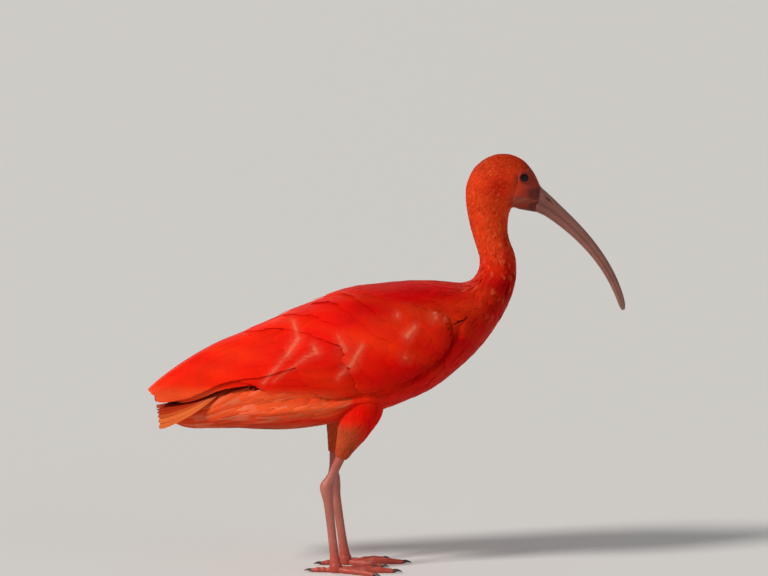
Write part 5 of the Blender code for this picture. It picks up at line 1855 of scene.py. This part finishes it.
def eye_finish():
    finish = Finish("dark_eye", Specular_IOR_Level=0.10, Coat_Weight=0.22, Coat_Roughness=0.02)
    fibres = finish.noise(1500.0, 2.0)
    finish.feed("Base Color", finish.shaded(finish.tint(), 0.7 + fibres * 0.6))
    finish.feed("Roughness", 0.10 + fibres * 0.05)
    return finish.material


def make_floor():
    mesh = bpy.data.meshes.new("floor")
    reach = FLOOR_REACH
    corners = [(-reach, -reach, 0), (reach, -reach, 0), (reach, reach, 0), (-reach, reach, 0)]
    mesh.from_pydata(corners, [], [(0, 1, 2, 3)])
    floor = bpy.data.objects.new("floor", mesh)
    bpy.context.scene.collection.objects.link(floor)
    finish = Finish("pale_floor", Specular_IOR_Level=0.2)
    finish.shader.inputs["Base Color"].default_value = FLOOR_GREY
    finish.shader.inputs["Roughness"].default_value = 0.8
    mesh.materials.append(finish.material)


def add_light(name, energy, angle, towards, colour):
    """A broad lamp at infinity that shines in one direction."""
    lamp = bpy.data.lights.new(name, "SUN")
    lamp.energy, lamp.angle, lamp.color = energy, math.radians(angle), colour
    obj = bpy.data.objects.new(name, lamp)
    obj.rotation_euler = Vector(towards).to_track_quat("-Z", "Y").to_euler()
    bpy.context.scene.collection.objects.link(obj)


def add_camera():
    """The camera looks at the bird's right side from a little above, as in the photograph."""
    camera = bpy.data.cameras.new("camera")
    camera.sensor_width = SENSOR_WIDTH
    camera.lens = SENSOR_WIDTH * CAMERA_DISTANCE / VIEW_WIDTH
    camera.clip_start, camera.clip_end = 0.1, 100.0
    obj = bpy.data.objects.new("camera", camera)
    back = Vector((0, -math.cos(CAMERA_TILT), math.sin(CAMERA_TILT)))
    obj.location = Vector(CAMERA_TARGET) + back * CAMERA_DISTANCE
    obj.rotation_euler = (-back).to_track_quat("-Z", "Y").to_euler()
    bpy.context.scene.collection.objects.link(obj)
    bpy.context.scene.camera = obj


def light_studio():
    world = bpy.data.worlds.new("studio")
    world.use_nodes = True
    world.node_tree.nodes["Background"].inputs["Color"].default_value = SKY_GREY
    world.node_tree.nodes["Background"].inputs["Strength"].default_value = SKY_STRENGTH
    bpy.context.scene.world = world
    bpy.context.scene.view_settings.view_transform = "Standard"
    for name, settings in LAMPS.items():
        add_light(name, *settings)


def write_sizes():
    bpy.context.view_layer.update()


def main():
    feathers = plumage_finish("plumage", 0.00055, 0.00010, 0.3, **FEATHER_GLOSS)
    small = plumage_finish("fine_plumage", 0.00040, 0.00006, 0.2, **FEATHER_GLOSS)
    flight = plumage_finish("flight_feather", 0.00065, 0.00010, 1.0, **FEATHER_GLOSS)
    down = skin_finish("down", 900.0, 0.0002, 0.7, Specular_IOR_Level=0.03)
    face = skin_finish("bare_skin", 1700.0, 0.00016, 0.50, Specular_IOR_Level=0.18)
    shin = skin_finish("leg_skin", 1500.0, 0.00010, 0.46, Specular_IOR_Level=0.45)
    bill, claw = horn_finish("bill_horn"), horn_finish("claw_horn")
    eye = eye_finish()
    make_skin(face)
    make_body_coat(feathers, small)
    make_tail(flight)
    make_bill(True, bill)
    make_bill(False, bill)
    for seed, name in enumerate(SIDES):
        make_wing(name, feathers, flight, down, 60 + seed)
        make_flank(name, feathers, 80 + seed)
        make_thigh_coat(name, feathers, 70 + seed)
        make_eye(name, eye, face)
        make_leg(name, shin, claw)
    make_floor()
    light_studio()
    add_camera()
    write_sizes()


main()
